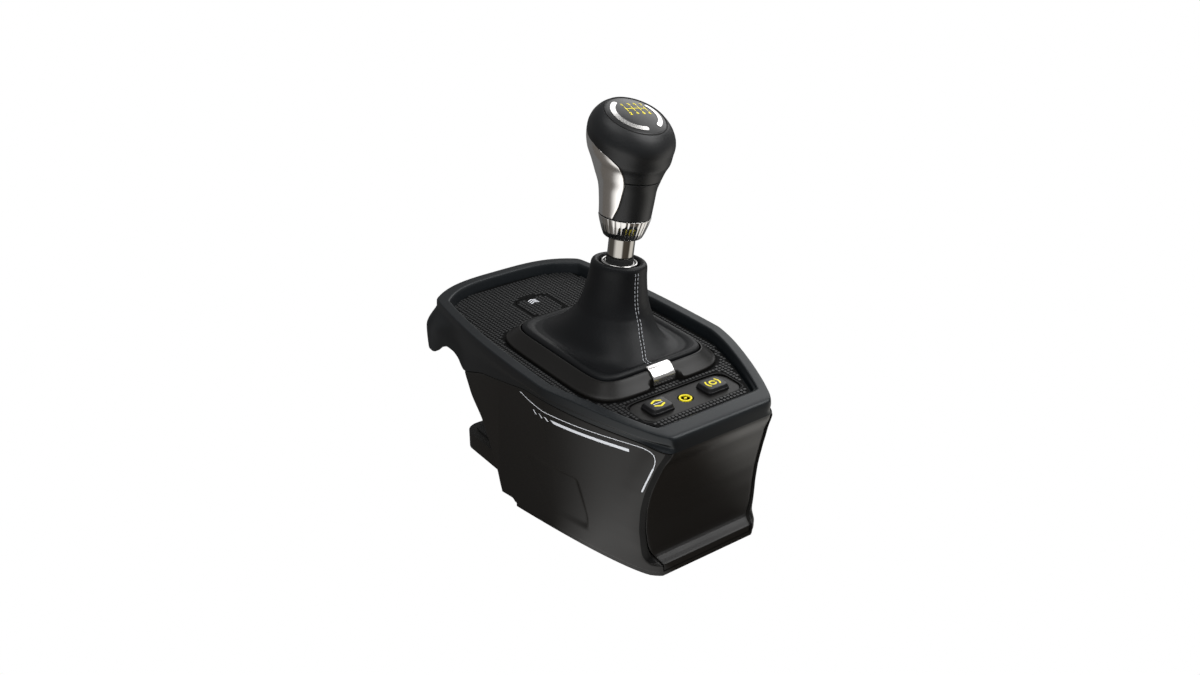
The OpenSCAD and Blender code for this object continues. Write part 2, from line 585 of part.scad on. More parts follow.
module knob_inlay(side) {
  hs = concat([0.3], [for (h = knob_steps) if (h > 1 && h < inlay_top - 0.3) h]);
  edge = function (h, k) mix(inlay_near(h) - inlay_play, inlay_far(h) + inlay_play, k);
  spots = function (d) [for (h = hs) [for (i = [0 : 8])
    knob_spot(h, 90 - side * (90 + edge(h, side > 0 ? i / 8 : 1 - i / 8)), d)]];
  color("#c3c2c2") on_lever() shell_solid(spots(0), spots(inlay_t));
}
module knob_inlay_right() {
  knob_inlay(1);
}
module knob_inlay_left() {
  knob_inlay(-1);
}
module on_badge() {
  on_lever() translate(knob_spot(knob_h, 0, knob_r(knob_h))) rotate([badge_tilt, 0, 0]) children();
}
badge_edge = 0.9;
badge_dome = 2.1;
function dome_z(f) = badge_edge + badge_dome * (1 - f * f);
arc_t = 0.5;
module badge_arcs() {
  r = badge_d / 2;
  section = [[0.68 * r, dome_z(0.68)], [0.79 * r, dome_z(0.79)], [0.79 * r, dome_z(0.79) + arc_t],
    [0.68 * r, dome_z(0.68) + arc_t]];
  color("#c8cacc") on_badge() {
    rotate([0, 0, 160]) rotate_extrude(angle = 120) polygon(section);
    rotate([0, 0, -40]) rotate_extrude(angle = 62) polygon(section);
  }
}
module knob_badge() {
  color("#2a2b2d") on_badge() {
    translate([0, 0, -2]) cylinder(r = knob_r(knob_h) - knob_wall - 0.3, h = 2.2);
    turned(concat([[0, 0.2], [badge_d / 2, 0.2]],
      [for (f = [1, 0.9, 0.79, 0.68, 0.5, 0.3, 0]) [f * badge_d / 2, dome_z(f)]]));
  }
}
module knob_insert() {
  color("#b08d3c") on_lever() translate([0, 0, collar_s + 0.1])
    ring_of(neck_r - knob_wall - 0.3, shaft_r, insert_h - 4);
}

// Mechanism: a carrier turns fore and aft in the chassis, and the lever's hub turns sideways in the carrier
hub_half = [12, 8.9];
hub_low = 9;
pin_r = 3;
carrier_half = [27, 15];
carrier_gap = 18;
carrier_z = 6;
axle_r = 4;
axle_end = 40;
bearing_r = 8;
post_in = 33;
post_t = 6;
pin_out = 24;
module at_pivot() {
  translate([0, pivot_y, pivot_z]) children();
}
module along_x() {
  rotate([0, 90, 0]) children();
}
module along_y() {
  rotate([-90, 0, 0]) children();
}
module pivot_hub() {
  color("#8d9196") on_lever() difference() {
    translate([-hub_half[0], -hub_half[1], -hub_low]) cube([2 * hub_half[0], 2 * hub_half[1], hub_low + hub_h]);
    translate([0, -20, 0]) along_y() cylinder(r = pin_r + 0.1, h = 40);
  }
}
gate_mid = 54;
gate_t = 2.5;
gate_pin_r = 1.3;
arm_r = 4;
module gate_pin() {
  color("#b9bcc0") on_lever() mirror([0, 0, 1]) {
    translate([0, 0, hub_low]) cylinder(r = arm_r, h = gate_mid - 10 - hub_low);
    translate([0, 0, gate_mid - 10]) cylinder(r = gate_pin_r, h = 14);
  }
}
cam_r = 20;
cam_x = 20.5;
cam_t = 4;
ball_r = 2.2;
module carrier() {
  color("#777b80") at_pivot() difference() {
    union() {
      translate([-carrier_half[0], -carrier_half[1], -carrier_z])
        cube([2 * carrier_half[0], 2 * carrier_half[1], 2 * carrier_z]);
      translate([cam_x, 0, 0]) along_x() intersection() {
        cylinder(r = cam_r, h = cam_t);
        translate([2, -10, 0]) cube([cam_r, 20, cam_t]);
      }
    }
    translate([-carrier_gap, -hub_half[1] - run, -carrier_z - 1])
      cube([2 * carrier_gap, 2 * (hub_half[1] + run), 2 * carrier_z + 2]);
    translate([-axle_end, 0, 0]) along_x() cylinder(r = axle_r, h = 2 * axle_end);
    translate([0, -30, 0]) along_y() cylinder(r = pin_r, h = 60);
    for (a = [-shift_deg, 0, shift_deg]) rotate([a, 0, 0]) translate([cam_x - 1, 0, -cam_r - 0.6])
      along_x() cylinder(r = ball_r + run, h = cam_t + 2);
  }
}
module carrier_axles() {
  color("#c4c7ca") at_pivot() for (m = [0, 1]) mirror([m, 0, 0])
    translate([carrier_gap + 1, 0, 0]) along_x() cylinder(r = axle_r, h = axle_end - carrier_gap - 1);
}
module select_pins() {
  color("#c4c7ca") at_pivot() {
    translate([0, -pin_out, 0]) along_y() cylinder(r = pin_r, h = pin_out - 3);
    translate([0, 3, 0]) along_y() cylinder(r = pin_r, h = carrier_half[1] - 3);
  }
}
module axle_bearings() {
  color("#a9adb1") at_pivot() for (m = [0, 1]) mirror([m, 0, 0])
    translate([post_in, 0, 0]) along_x() ring_of(bearing_r, axle_r + 0.1, post_t);
}
floor_t = 4;
floor_z = base_t + floor_t;
post_half = 12;
floor_front = 20;
step_y = foot_len / 2 - 3.5;
plunger_z = pivot_z - cam_r - 10;
chassis_screws = [[-12, floor_front + 6], [12, floor_front + 6], [-12, step_y - 6], [12, step_y - 6]];
chassis_screw_r = 1.6;
screw_head_r = 2.8;
screw_head_h = 1.2;
screw_head_z = 0.4;
module chassis() {
  x_out = post_in + post_t;
  color("#53575b") difference() {
    union() {
      translate([-x_out, floor_front, base_t]) cube([2 * x_out, step_y - floor_front, floor_t]);
      for (m = [0, 1]) mirror([m, 0, 0]) translate([post_in, pivot_y - post_half, base_t])
        cube([post_t, 2 * post_half, pivot_z + bearing_r + 2 - base_t]);
      translate([cam_x - 4, pivot_y - 6, plunger_z - 10]) cube([x_out - cam_x + 4, 12, 8]);
      translate([-x_out - 5, pivot_y - 6, pivot_z - 16]) cube([6, 12, 5]);
    }
    translate([-60, step_y, 0]) cube([120, 60, rear_step + base_t + seam]);
    for (x = [-1, 1]) translate([x * bolt_x / 2, bolt_y / 2, 0])
      cylinder(d = bolt_hole_d + 8, h = bolt_boss_h + 1);
    at_pivot() translate([-60, 0, 0]) along_x() cylinder(r = bearing_r, h = 120);
    translate([cam_x + cam_t / 2, pivot_y, plunger_z - 12]) cylinder(r = 3.5, h = 16);
    for (p = chassis_screws) translate([p[0], p[1], 0]) cylinder(r = chassis_screw_r, h = 20);
  }
}
lane_deg = lean / 1.5;
lane_half_w = gate_pin_r + 0.55;
lane_half_l = gate_mid * tan(shift_deg) + gate_pin_r + 0.6;
plate_z = pivot_z - gate_mid - gate_t / 2;
gate_x = 26;
gate_y = 15;
post_y = 11.5;
module gate_plate() {
  color("#9ea2a6") translate([0, pivot_y, plate_z]) linear_extrude(gate_t) difference() {
    square([2 * gate_x, 2 * gate_y], center = true);
    for (k = [-1.5 : 1 : 1.5]) translate([gate_mid * tan(k * lane_deg), 0]) union() {
      square([2 * lane_half_w, 2 * (lane_half_l - lane_half_w)], center = true);
      for (y = [-1, 1]) translate([0, y * (lane_half_l - lane_half_w)]) circle(lane_half_w);
    }
    square([2 * gate_mid * tan(lean), 2 * lane_half_w], center = true);
  }
}
module gate_posts() {
  color("#b5b8bb") for (x = [-1, 1]) {
    translate([x * 21, pivot_y - post_y, floor_z]) cylinder(r = 2.8, h = plate_z - floor_z);
    translate([x * 21, pivot_y + post_y, rear_step + base_t])
      cylinder(r = 2.8, h = plate_z - rear_step - base_t);
  }
}
module detent_plunger() {
  tip = pivot_z - cam_r - 0.6 - run;
  color("#c9a24a") translate([cam_x + cam_t / 2, pivot_y, 0]) {
    translate([0, 0, plunger_z - 11]) cylinder(r = 3.5, h = tip - plunger_z + 9.4);
    translate([0, 0, tip - 2]) cylinder(r = 1.5, h = 1);
    translate([0, 0, tip]) sphere(r = ball_r);
  }
}
preload_wire = 1;
module preload_spring() {
  color("silver") at_pivot() translate([0, -carrier_half[1] - 0.8, 0]) rotate([90, 0, 0])
    coil(pin_r + 0.3 + preload_wire / 2, preload_wire, 1.6, 4);
}
module shift_magnet() {
  color("#d0d2d6") at_pivot() translate([-axle_end - 2, 0, 0]) along_x() cylinder(r = 3, h = 2);
}
module shift_sensor() {
  x = post_in + post_t + 5;
  color("#1f5a3a") at_pivot() {
    translate([-x - board_t, -7, -16]) cube([board_t, 14, 24]);
    translate([-x, -2.5, -2.5]) cube([1, 5, 5]);
  }
}
main_z = 10;
main_w = 60;
main_l = 44;
main_y = -3;
module board_corners() {
  for (x = [-1, 1], y = [-1, 1]) translate([x * (main_w / 2 - 4), main_y + y * (main_l / 2 - 4), 0]) children();
}
module main_board() {
  color("#1f5a3a") difference() {
    translate([0, main_y, main_z]) round_plate(main_w, main_l, board_t, 2);
    board_corners() translate([0, 0, main_z - 1]) cylinder(r = 1.6, h = 4);
  }
}
module board_chips() {
  color("#2c2c2e") translate([0, main_y, main_z + board_t]) {
    translate([-6, -6, 0]) cube([12, 12, 1.6]);
    translate([-22, 4, 0]) cube([8, 10, 2]);
    translate([14, -14, 0]) cube([10, 6, 5]);
    translate([14, 6, 0]) cube([12, 5, 6]);
  }
}
usb_l = 8;
usb_w = 9;
usb_h = 3.3;
usb_z = 30;
usb_in = 20;
usb_gap = 1;
// The socket lies a set way in from the foot's back corner, and always clears the chassis post
usb_x = max(foot_back_w / 2 - usb_in, post_in + post_t + usb_w / 2 + usb_gap);
module usb_socket() {
  color("#b9bcc0") translate([usb_x, front_y + rear_t + wall, usb_z]) rotate([90, 0, 0]) difference() {
    translate([-usb_w / 2, -usb_h / 2, 0]) cube([usb_w, usb_h, usb_l]);
    translate([-usb_w / 2 + 0.6, -usb_h / 2 + 0.5, -1]) cube([usb_w - 1.2, usb_h - 1, usb_l]);
  }
}

// Desk clamp
clamp_y = front_y + foot_end_t + 30;
cover_y = front_y + rear_t + wall;
bridge_z = 58;
bridge_t = 6;
bridge_half = 44;
jaw_z = 5;
jaw_top = jaw_z + jaw_t;
jaw_front = cover_y + 3;
jaw_end = front_y + foot_end_t + 77;
jaw_r = 10;
boss_h = 4.5;
boss_r = rod_d / 2 + 4;
shoulder_h = 2.2;
bore_l = 120;
bridge_over = 12;
module clamp_bores(rod, screw) {
  for (x = [-1, 1]) translate([x * rod_x / 2, clamp_y, -1]) cylinder(r = rod, h = bore_l);
  translate([0, clamp_y, -1]) cylinder(r = screw, h = bore_l);
}
module clamp_bridge() {
  color("#5c6064") difference() {
    union() {
      translate([-bridge_half, cover_y, bridge_z]) cube([2 * bridge_half, clamp_y + bridge_over - cover_y, bridge_t]);
      translate([-bridge_half, cover_y, bridge_z]) cube([2 * bridge_half, 4, 22]);
    }
    clamp_bores(rod_d / 2, screw_d / 2 + run);
  }
}
module guide_rods() {
  color("#c6c9cc") for (x = [-1, 1]) translate([x * rod_x / 2, clamp_y, jaw_z + 0.5])
    cylinder(d = rod_d, h = bridge_z + bridge_t - jaw_z - 0.5);
}
pad_l = 27;
pad_in = 1.6;
pad_out = 0.8;
pad_y = jaw_end - 4 - pad_l / 2;
head_r2 = 7.5;
nut_r = 8;
module clamp_jaw() {
  l = jaw_end - jaw_front;
  color("#2a2b2d") difference() {
    union() {
      translate([0, jaw_front + l / 2, jaw_z]) round_plate(jaw_w, l, jaw_t, jaw_r);
      for (x = [-1, 0, 1]) translate([x * rod_x / 2, clamp_y, jaw_top - 1]) cylinder(r = boss_r + 1, h = boss_h + 1);
    }
    clamp_bores(rod_d / 2 + run, screw_d / 2 + run);
    translate([0, clamp_y, jaw_z - 1]) cylinder(r = head_r2 + 1, h = 7.5);
    translate([0, clamp_y, jaw_top + boss_h - 7]) cylinder(r = nut_r, h = 8);
    translate([0, pad_y, jaw_top - pad_in]) round_plate(jaw_w - 12 + 0.4, pad_l + 0.4, 5, jaw_r - 4);
  }
}
module jaw_pad() {
  color("#202020") translate([0, pad_y, jaw_top - pad_in]) round_plate(jaw_w - 12, pad_l, pad_in + pad_out, jaw_r - 4);
}
module clamp_nut() {
  color("#b08d3c") translate([0, clamp_y, jaw_top + boss_h - 7]) ring_of(nut_r, screw_d / 2 + 0.15, 7);
}
module clamp_screw() {
  color("#c6c9cc") translate([0, clamp_y, 0]) difference() {
    union() {
      translate([0, 0, jaw_z + 0.2]) cylinder(r = head_r2, h = 5.5);
      translate([0, 0, jaw_z + 0.2]) cylinder(d = screw_d, h = bridge_z + bridge_t + 6 - jaw_z);
      translate([0, 0, bridge_z - run - shoulder_h]) cylinder(r = head_r2, h = shoulder_h);
    }
    translate([0, 0, jaw_z - 1]) cylinder(r = 3.5, h = 5, $fn = 6);
  }
}
module screw_clip() {
  color("#8d9196") translate([0, clamp_y, bridge_z + bridge_t + run]) ring_of(head_r2, screw_d / 2, 2);
}
lip_half = 44;
lip_t = 3;
spring_post_r = 5.5;
// The bracket starts behind the wings and always reaches under the release spring
lip_front = min(front_y + wing_t + 4, tab_spring_y - spring_post_r - lip_t);
lip_back = front_y + tray_len - 11;
module lip_bracket() {
  l = lip_back - lip_front;
  top = ledge_z - ledge_t - 0.1;
  spring_foot = ledge_z - run - tab_flange - tab_spring_h;
  tab_low = ledge_z - run - tab_flange - tab_travel - 0.6;
  color("#3b3d40") difference() {
    translate([0, lip_front + l / 2, hook_z]) round_plate(2 * lip_half, l, top - hook_z, 14);
    translate([0, lip_front + l / 2, hook_z + lip_t]) round_plate(2 * (lip_half - lip_t), l - 2 * lip_t, 60, 11);
    translate([-tab_w / 2 - 3, lip_front - 1, tab_low]) cube([tab_w + 6, lip_t + 2, 60]);
  }
  color("#3b3d40") translate([0, tab_spring_y, hook_z]) cylinder(r = spring_post_r, h = spring_foot - hook_z);
}
lip_pad_t = 2;
module lip_pad() {
  l = lip_back - lip_front - 12;
  color("#202020") translate([0, lip_front + 6 + l / 2, hook_z - lip_pad_t]) round_plate(2 * lip_half - 10, l, lip_pad_t, 8);
}
module casing_screws() {
  color("#9a9da1") for (p = chassis_screws) translate([p[0], p[1], 0]) {
    translate([0, 0, screw_head_z]) cylinder(r = screw_head_r, h = screw_head_h);
    translate([0, 0, screw_head_z + screw_head_h]) cylinder(r = chassis_screw_r - 0.05, h = floor_z - 2);
  }
}

base_plate();
foot_pads();
left_shell();
right_shell();
front_panel();
rear_cover();
top_tray();
deck_inlay();
button_panel();
left_key();
right_key();
indicator_lens();
key_board();
key_switches();
release_tab();
tab_spring();
boot_frame();
frame_clip();
boot_lower();
boot_upper();
boot_ring();
ring_trim();
shaft_sleeve();
lever_shaft();
knob_collar();
knob_base();
knob_grip();
knob_inlay_left();
knob_inlay_right();
knob_badge();
badge_arcs();
knob_insert();
pivot_hub();
gate_pin();
carrier();
carrier_axles();
select_pins();
axle_bearings();
chassis();
gate_plate();
gate_posts();
detent_plunger();
preload_spring();
shift_magnet();
shift_sensor();
main_board();
board_chips();
usb_socket();
clamp_bridge();
guide_rods();
clamp_jaw();
jaw_pad();
clamp_nut();
clamp_screw();
screw_clip();
lip_bracket();
lip_pad();
casing_screws();
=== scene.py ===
# %% [markdown]
# # Gear shifter for driving simulators
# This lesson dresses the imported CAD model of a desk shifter. Rigid pieces that already look right keep
# their CAD mesh and only get a finish. The visible skins, such as the flanks, the tray, the boot and the
# knob, are worked out again as smooth surfaces from the same formulas that the part's source uses, so
# that a highlight runs over them without a break.

# %% Load the frame
import json
import math

import bpy
import numpy as np
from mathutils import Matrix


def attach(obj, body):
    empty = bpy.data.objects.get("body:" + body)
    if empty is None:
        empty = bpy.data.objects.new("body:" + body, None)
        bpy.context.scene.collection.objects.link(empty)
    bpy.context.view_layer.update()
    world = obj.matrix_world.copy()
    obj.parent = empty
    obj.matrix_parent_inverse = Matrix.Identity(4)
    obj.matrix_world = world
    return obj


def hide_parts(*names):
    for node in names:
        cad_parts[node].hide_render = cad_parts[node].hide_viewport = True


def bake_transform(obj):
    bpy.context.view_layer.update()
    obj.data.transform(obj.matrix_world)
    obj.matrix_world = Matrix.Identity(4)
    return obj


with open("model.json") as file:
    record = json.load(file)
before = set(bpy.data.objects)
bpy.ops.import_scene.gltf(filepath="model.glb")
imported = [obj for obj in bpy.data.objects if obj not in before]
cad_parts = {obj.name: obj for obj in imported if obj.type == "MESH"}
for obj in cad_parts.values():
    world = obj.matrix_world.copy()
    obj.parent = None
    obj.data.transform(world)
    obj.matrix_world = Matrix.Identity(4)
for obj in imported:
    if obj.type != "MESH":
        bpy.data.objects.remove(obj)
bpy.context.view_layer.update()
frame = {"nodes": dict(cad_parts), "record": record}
scene = bpy.context.scene

# %% [markdown]
# ## Camera, floor and light
# The photograph is a product picture on white: a long lens, a camera left of the driver and above the
# knob. The camera's place was recovered from the straight edges of the object. The floor and the world
# are white to the camera only. Mirrors see bright and dark stretches round the object, which draw the bands
# on the chrome, and the floor throws little light back, so the flanks stay black. The fill lamp is hidden
# from mirrors: it brings out the printed marks and puts no shine on the plastic.

# %% Camera
PHOTO_WIDTH, FOCAL_PX, SENSOR = 1200, 1250, 36
camera_data = bpy.data.cameras.new("photo_camera")
camera_data.sensor_width = SENSOR
camera_data.lens = SENSOR * FOCAL_PX / PHOTO_WIDTH
camera_data.clip_start = 0.01
camera = bpy.data.objects.new("photo_camera", camera_data)
camera.location = (-0.4008, -0.4955, 0.4436)
camera.rotation_euler = (math.radians(63.07), 0, math.radians(-36.14))
scene.collection.objects.link(camera)
scene.camera = camera
scene.view_settings.view_transform = "Standard"
print("lens", round(camera_data.lens, 2))


# %% Helpers for shader nodes
def add_node(tree, kind, **settings):
    """One shader node; keys with a leading capital set its input sockets, others its properties."""
    node = tree.nodes.new(kind)
    for key, value in settings.items():
        if key[0].isupper():
            node.inputs[key.replace("_", " ")].default_value = value
        else:
            setattr(node, key, value)
    return node


def wire(tree, *pairs):
    """Links each (output socket, input socket) pair."""
    for given, taken in pairs:
        tree.links.new(given, taken)


def bands_group():
    """What mirrors see round the object: bright and dark stretches by compass angle, like studio cards."""
    group = bpy.data.node_groups.new("studio_bands", "ShaderNodeTree")
    group.interface.new_socket("Vector", in_out="INPUT", socket_type="NodeSocketVector")
    group.interface.new_socket("Color", in_out="OUTPUT", socket_type="NodeSocketColor")
    given, result = group.nodes.new("NodeGroupInput"), group.nodes.new("NodeGroupOutput")
    turn = add_node(group, "ShaderNodeVectorRotate", rotation_type="Z_AXIS", Angle=math.radians(-295))
    parts = add_node(group, "ShaderNodeSeparateXYZ")
    angle = add_node(group, "ShaderNodeMath", operation="ARCTAN2")
    share = add_node(group, "ShaderNodeMapRange", From_Min=-math.pi, From_Max=math.pi)
    ramp = add_node(group, "ShaderNodeValToRGB")
    while len(ramp.color_ramp.elements) < len(BAND_STOPS):
        ramp.color_ramp.elements.new(1.0)
    for element, (place, colour) in zip(ramp.color_ramp.elements, BAND_STOPS):
        element.position, element.color = place, (*colour, 1)
    wire(group, (given.outputs["Vector"], turn.inputs["Vector"]), (turn.outputs[0], parts.inputs[0]),
         (parts.outputs["Y"], angle.inputs[0]), (parts.outputs["X"], angle.inputs[1]),
         (angle.outputs[0], share.inputs["Value"]), (share.outputs[0], ramp.inputs["Fac"]),
         (ramp.outputs["Color"], result.inputs["Color"]))
    return group


# Place round the horizon, from 0 to 1, and the colour that mirrors see there
BAND_STOPS = [(0, (.12, .11, .10)), (.12, (.14, .13, .12)), (.20, (1.35, 1.33, 1.30)),
              (.33, (1.35, 1.33, 1.30)), (.365, (.13, .11, .09)), (.53, (.10, .085, .07)),
              (.58, (1.15, 1.12, 1.06)), (.66, (1.10, 1.07, 1.01)), (.71, (.13, .13, .13)),
              (1, (.14, .14, .14))]
bands = bands_group()
print("bands", len(BAND_STOPS))

# %% World and floor
world = bpy.data.worlds.new("studio")
scene.world = world
world.use_nodes = True
tree = world.node_tree
tree.nodes.clear()
sky = add_node(tree, "ShaderNodeBackground", Color=(1, 1, 1, 1), Strength=0.22)
path = add_node(tree, "ShaderNodeLightPath")
backdrop = add_node(tree, "ShaderNodeBackground", Color=(1, 1, 1, 1), Strength=1.0)
choose = add_node(tree, "ShaderNodeMixShader")
out = add_node(tree, "ShaderNodeOutputWorld")
wire(tree, (path.outputs["Is Camera Ray"], choose.inputs[0]), (sky.outputs[0], choose.inputs[1]),
     (backdrop.outputs[0], choose.inputs[2]), (choose.outputs[0], out.inputs["Surface"]))

FLOOR_HALF, FLOOR_DROP = 4.0, 0.0004
floor_mesh = bpy.data.meshes.new("floor")
floor_mesh.from_pydata([(x * FLOOR_HALF, y * FLOOR_HALF, 0) for x, y in ((-1, -1), (1, -1), (1, 1), (-1, 1))],
                       [], [(0, 1, 2, 3)])
floor = bpy.data.objects.new("floor", floor_mesh)
floor.location.z = -FLOOR_DROP
scene.collection.objects.link(floor)
floor_paint = bpy.data.materials.new("floor_paint")
floor_paint.use_nodes = True
tree = floor_paint.node_tree
paint = tree.nodes["Principled BSDF"]
for key, value in (("Base Color", (0.3, 0.3, 0.3, 1)), ("Roughness", 0.9), ("Specular IOR Level", 0.0)):
    paint.inputs[key].default_value = value
path = add_node(tree, "ShaderNodeLightPath")
place = add_node(tree, "ShaderNodeTexCoord")
around = add_node(tree, "ShaderNodeGroup", node_tree=bands)
mirror_glow = add_node(tree, "ShaderNodeEmission", Strength=1.0)
white_glow = add_node(tree, "ShaderNodeEmission", Color=(1, 1, 1, 1), Strength=1.0)
for_mirrors = add_node(tree, "ShaderNodeMixShader")
for_camera = add_node(tree, "ShaderNodeMixShader")
wire(tree, (place.outputs["Object"], around.inputs["Vector"]),
     (around.outputs["Color"], mirror_glow.inputs["Color"]),
     (path.outputs["Is Glossy Ray"], for_mirrors.inputs[0]), (paint.outputs[0], for_mirrors.inputs[1]),
     (mirror_glow.outputs[0], for_mirrors.inputs[2]), (path.outputs["Is Camera Ray"], for_camera.inputs[0]),
     (for_mirrors.outputs[0], for_camera.inputs[1]), (white_glow.outputs[0], for_camera.inputs[2]),
     (for_camera.outputs[0], tree.nodes["Material Output"].inputs["Surface"]))
floor_mesh.materials.append(floor_paint)
print("world", world.name, "floor", floor.name)


# %% Lamps
def soft_lamp(name, place, target, size, watts):
    """A rectangular soft box at place, turned so that its face looks at target."""
    data = bpy.data.lights.new(name, "AREA")
    data.shape = "RECTANGLE"
    data.size, data.size_y = size
    data.energy = watts
    lamp = bpy.data.objects.new(name, data)
    lamp.location = place
    aim = np.array(target, float) - np.array(place, float)
    yaw = math.atan2(-aim[0], aim[1])
    lamp.rotation_euler = (math.atan2(math.hypot(aim[0], aim[1]), -aim[2]), 0, yaw)
    scene.collection.objects.link(lamp)
    return lamp


middle = (0, 0.03, 0.1)
soft_lamp("front_right_box", (0.84, -0.55, 1.36), middle, (0.9, 0.85), 11)
soft_lamp("right_box", (1.15, 0.72, 0.95), middle, (1.0, 1.2), 6)
soft_lamp("top_box", (-0.2, 0.1, 1.5), middle, (0.8, 0.8), 4)
fill = soft_lamp("fill_box", (-0.9, -0.9, 1.3), middle, (1.0, 1.0), 28)
fill.visible_glossy = False

# %% [markdown]
# ## Finishes
# Nearly everything here is black, so the finishes differ in gloss, grain and tint and not in colour: warm
# satin plastic on the flanks, a cooler one on the tray, soft rubber on the grip, leather on the boot. A
# grain group and a handling group hold what they share. Both read Object coordinates, because every piece
# sits at the origin and the pattern then stays the same size on all of them.


# %% Shared node groups
def new_group(name, inputs, outputs):
    """An empty shader node group with float inputs {name: default} and named float outputs."""
    group = bpy.data.node_groups.new(name, "ShaderNodeTree")
    for key, value in inputs.items():
        socket = group.interface.new_socket(key, in_out="INPUT", socket_type="NodeSocketFloat")
        socket.default_value = value
    for key in outputs:
        group.interface.new_socket(key, in_out="OUTPUT", socket_type="NodeSocketFloat")
    return group, group.nodes.new("NodeGroupInput"), group.nodes.new("NodeGroupOutput")


def object_noise(group, scale_socket, detail, coordinates):
    """Noise on Object coordinates with its scale taken from a socket."""
    noise = add_node(group, "ShaderNodeTexNoise", Detail=detail, Roughness=0.55)
    wire(group, (coordinates, noise.inputs["Vector"]), (scale_socket, noise.inputs["Scale"]))
    return noise.outputs["Fac"]


def grain_group():
    """Moulded or tanned grain: cells between fine lines, plus a finer noise, put out as a height."""
    group, given, result = new_group("grain", {"Scale": 1500.0, "Cells": 0.5}, ["Height"])
    place = add_node(group, "ShaderNodeTexCoord").outputs["Object"]
    cells = add_node(group, "ShaderNodeTexVoronoi", feature="DISTANCE_TO_EDGE")
    step = add_node(group, "ShaderNodeMapRange", From_Max=0.35)
    fine = object_noise(group, given.outputs["Scale"], 3.0, place)
    blend = add_node(group, "ShaderNodeMix")
    wire(group, (place, cells.inputs["Vector"]), (given.outputs["Scale"], cells.inputs["Scale"]),
         (cells.outputs["Distance"], step.inputs["Value"]), (given.outputs["Cells"], blend.inputs["Factor"]),
         (fine, blend.inputs[2]), (step.outputs[0], blend.inputs[3]),
         (blend.outputs[0], result.inputs["Height"]))
    return group


def handling_group():
    """Slow clouds from handling: Tone scales a colour up and down, Gloss shifts a roughness."""
    group, given, result = new_group("handling", {"Scale": 35.0, "Tone spread": 0.2, "Gloss spread": 0.1,
                                                  "Roughness": 0.4}, ["Tone", "Roughness"])
    place = add_node(group, "ShaderNodeTexCoord").outputs["Object"]
    cloud = object_noise(group, given.outputs["Scale"], 4.0, place)
    for spread, centre, output in (("Tone spread", None, "Tone"), ("Gloss spread", "Roughness", "Roughness")):
        shifted = add_node(group, "ShaderNodeMath", operation="SUBTRACT")
        shifted.inputs[1].default_value = 0.5
        scaled = add_node(group, "ShaderNodeMath", operation="MULTIPLY")
        total = add_node(group, "ShaderNodeMath", operation="ADD")
        total.inputs[1].default_value = 1.0
        wire(group, (cloud, shifted.inputs[0]), (shifted.outputs[0], scaled.inputs[0]),
             (given.outputs[spread], scaled.inputs[1]), (scaled.outputs[0], total.inputs[0]),
             (total.outputs[0], result.inputs[output]))
        if centre:
            wire(group, (given.outputs[centre], total.inputs[1]))
    return group


grain = grain_group()
handling = handling_group()
print("groups", grain.name, handling.name)


# %% One function for every finish
def finish_of(name, colour, rough, metal=0.0, grain_scale=1500, cells=0.4, bump=0.15, depth=0.00006,
              tone=0.25, gloss=0.1, coat=0.0, specular=0.5, tint=(1, 1, 1)):
    """A principled finish whose colour and roughness drift with handling and whose bump is the grain."""
    material = bpy.data.materials.new(name)
    material.use_nodes = True
    tree = material.node_tree
    shader = tree.nodes["Principled BSDF"]
    drift = add_node(tree, "ShaderNodeGroup", node_tree=handling)
    for node, key, value in ((shader, "Metallic", metal), (shader, "Specular IOR Level", specular),
                             (shader, "Specular Tint", (*tint, 1)), (shader, "Coat Weight", coat),
                             (shader, "Coat Roughness", 0.2), (drift, "Tone spread", tone),
                             (drift, "Gloss spread", gloss), (drift, "Roughness", rough)):
        node.inputs[key].default_value = value
    shade = add_node(tree, "ShaderNodeVectorMath", operation="SCALE")
    shade.inputs[0].default_value = colour
    wire(tree, (drift.outputs["Tone"], shade.inputs["Scale"]),
         (shade.outputs[0], shader.inputs["Base Color"]),
         (drift.outputs["Roughness"], shader.inputs["Roughness"]))
    if bump:
        pores = add_node(tree, "ShaderNodeGroup", node_tree=grain)
        pores.inputs["Scale"].default_value = grain_scale
        pores.inputs["Cells"].default_value = cells
        relief = add_node(tree, "ShaderNodeBump", Strength=bump, Distance=depth)
        wire(tree, (pores.outputs["Height"], relief.inputs["Height"]),
             (relief.outputs[0], shader.inputs["Normal"]))
    material.diffuse_color = (*colour, 1)
    return material


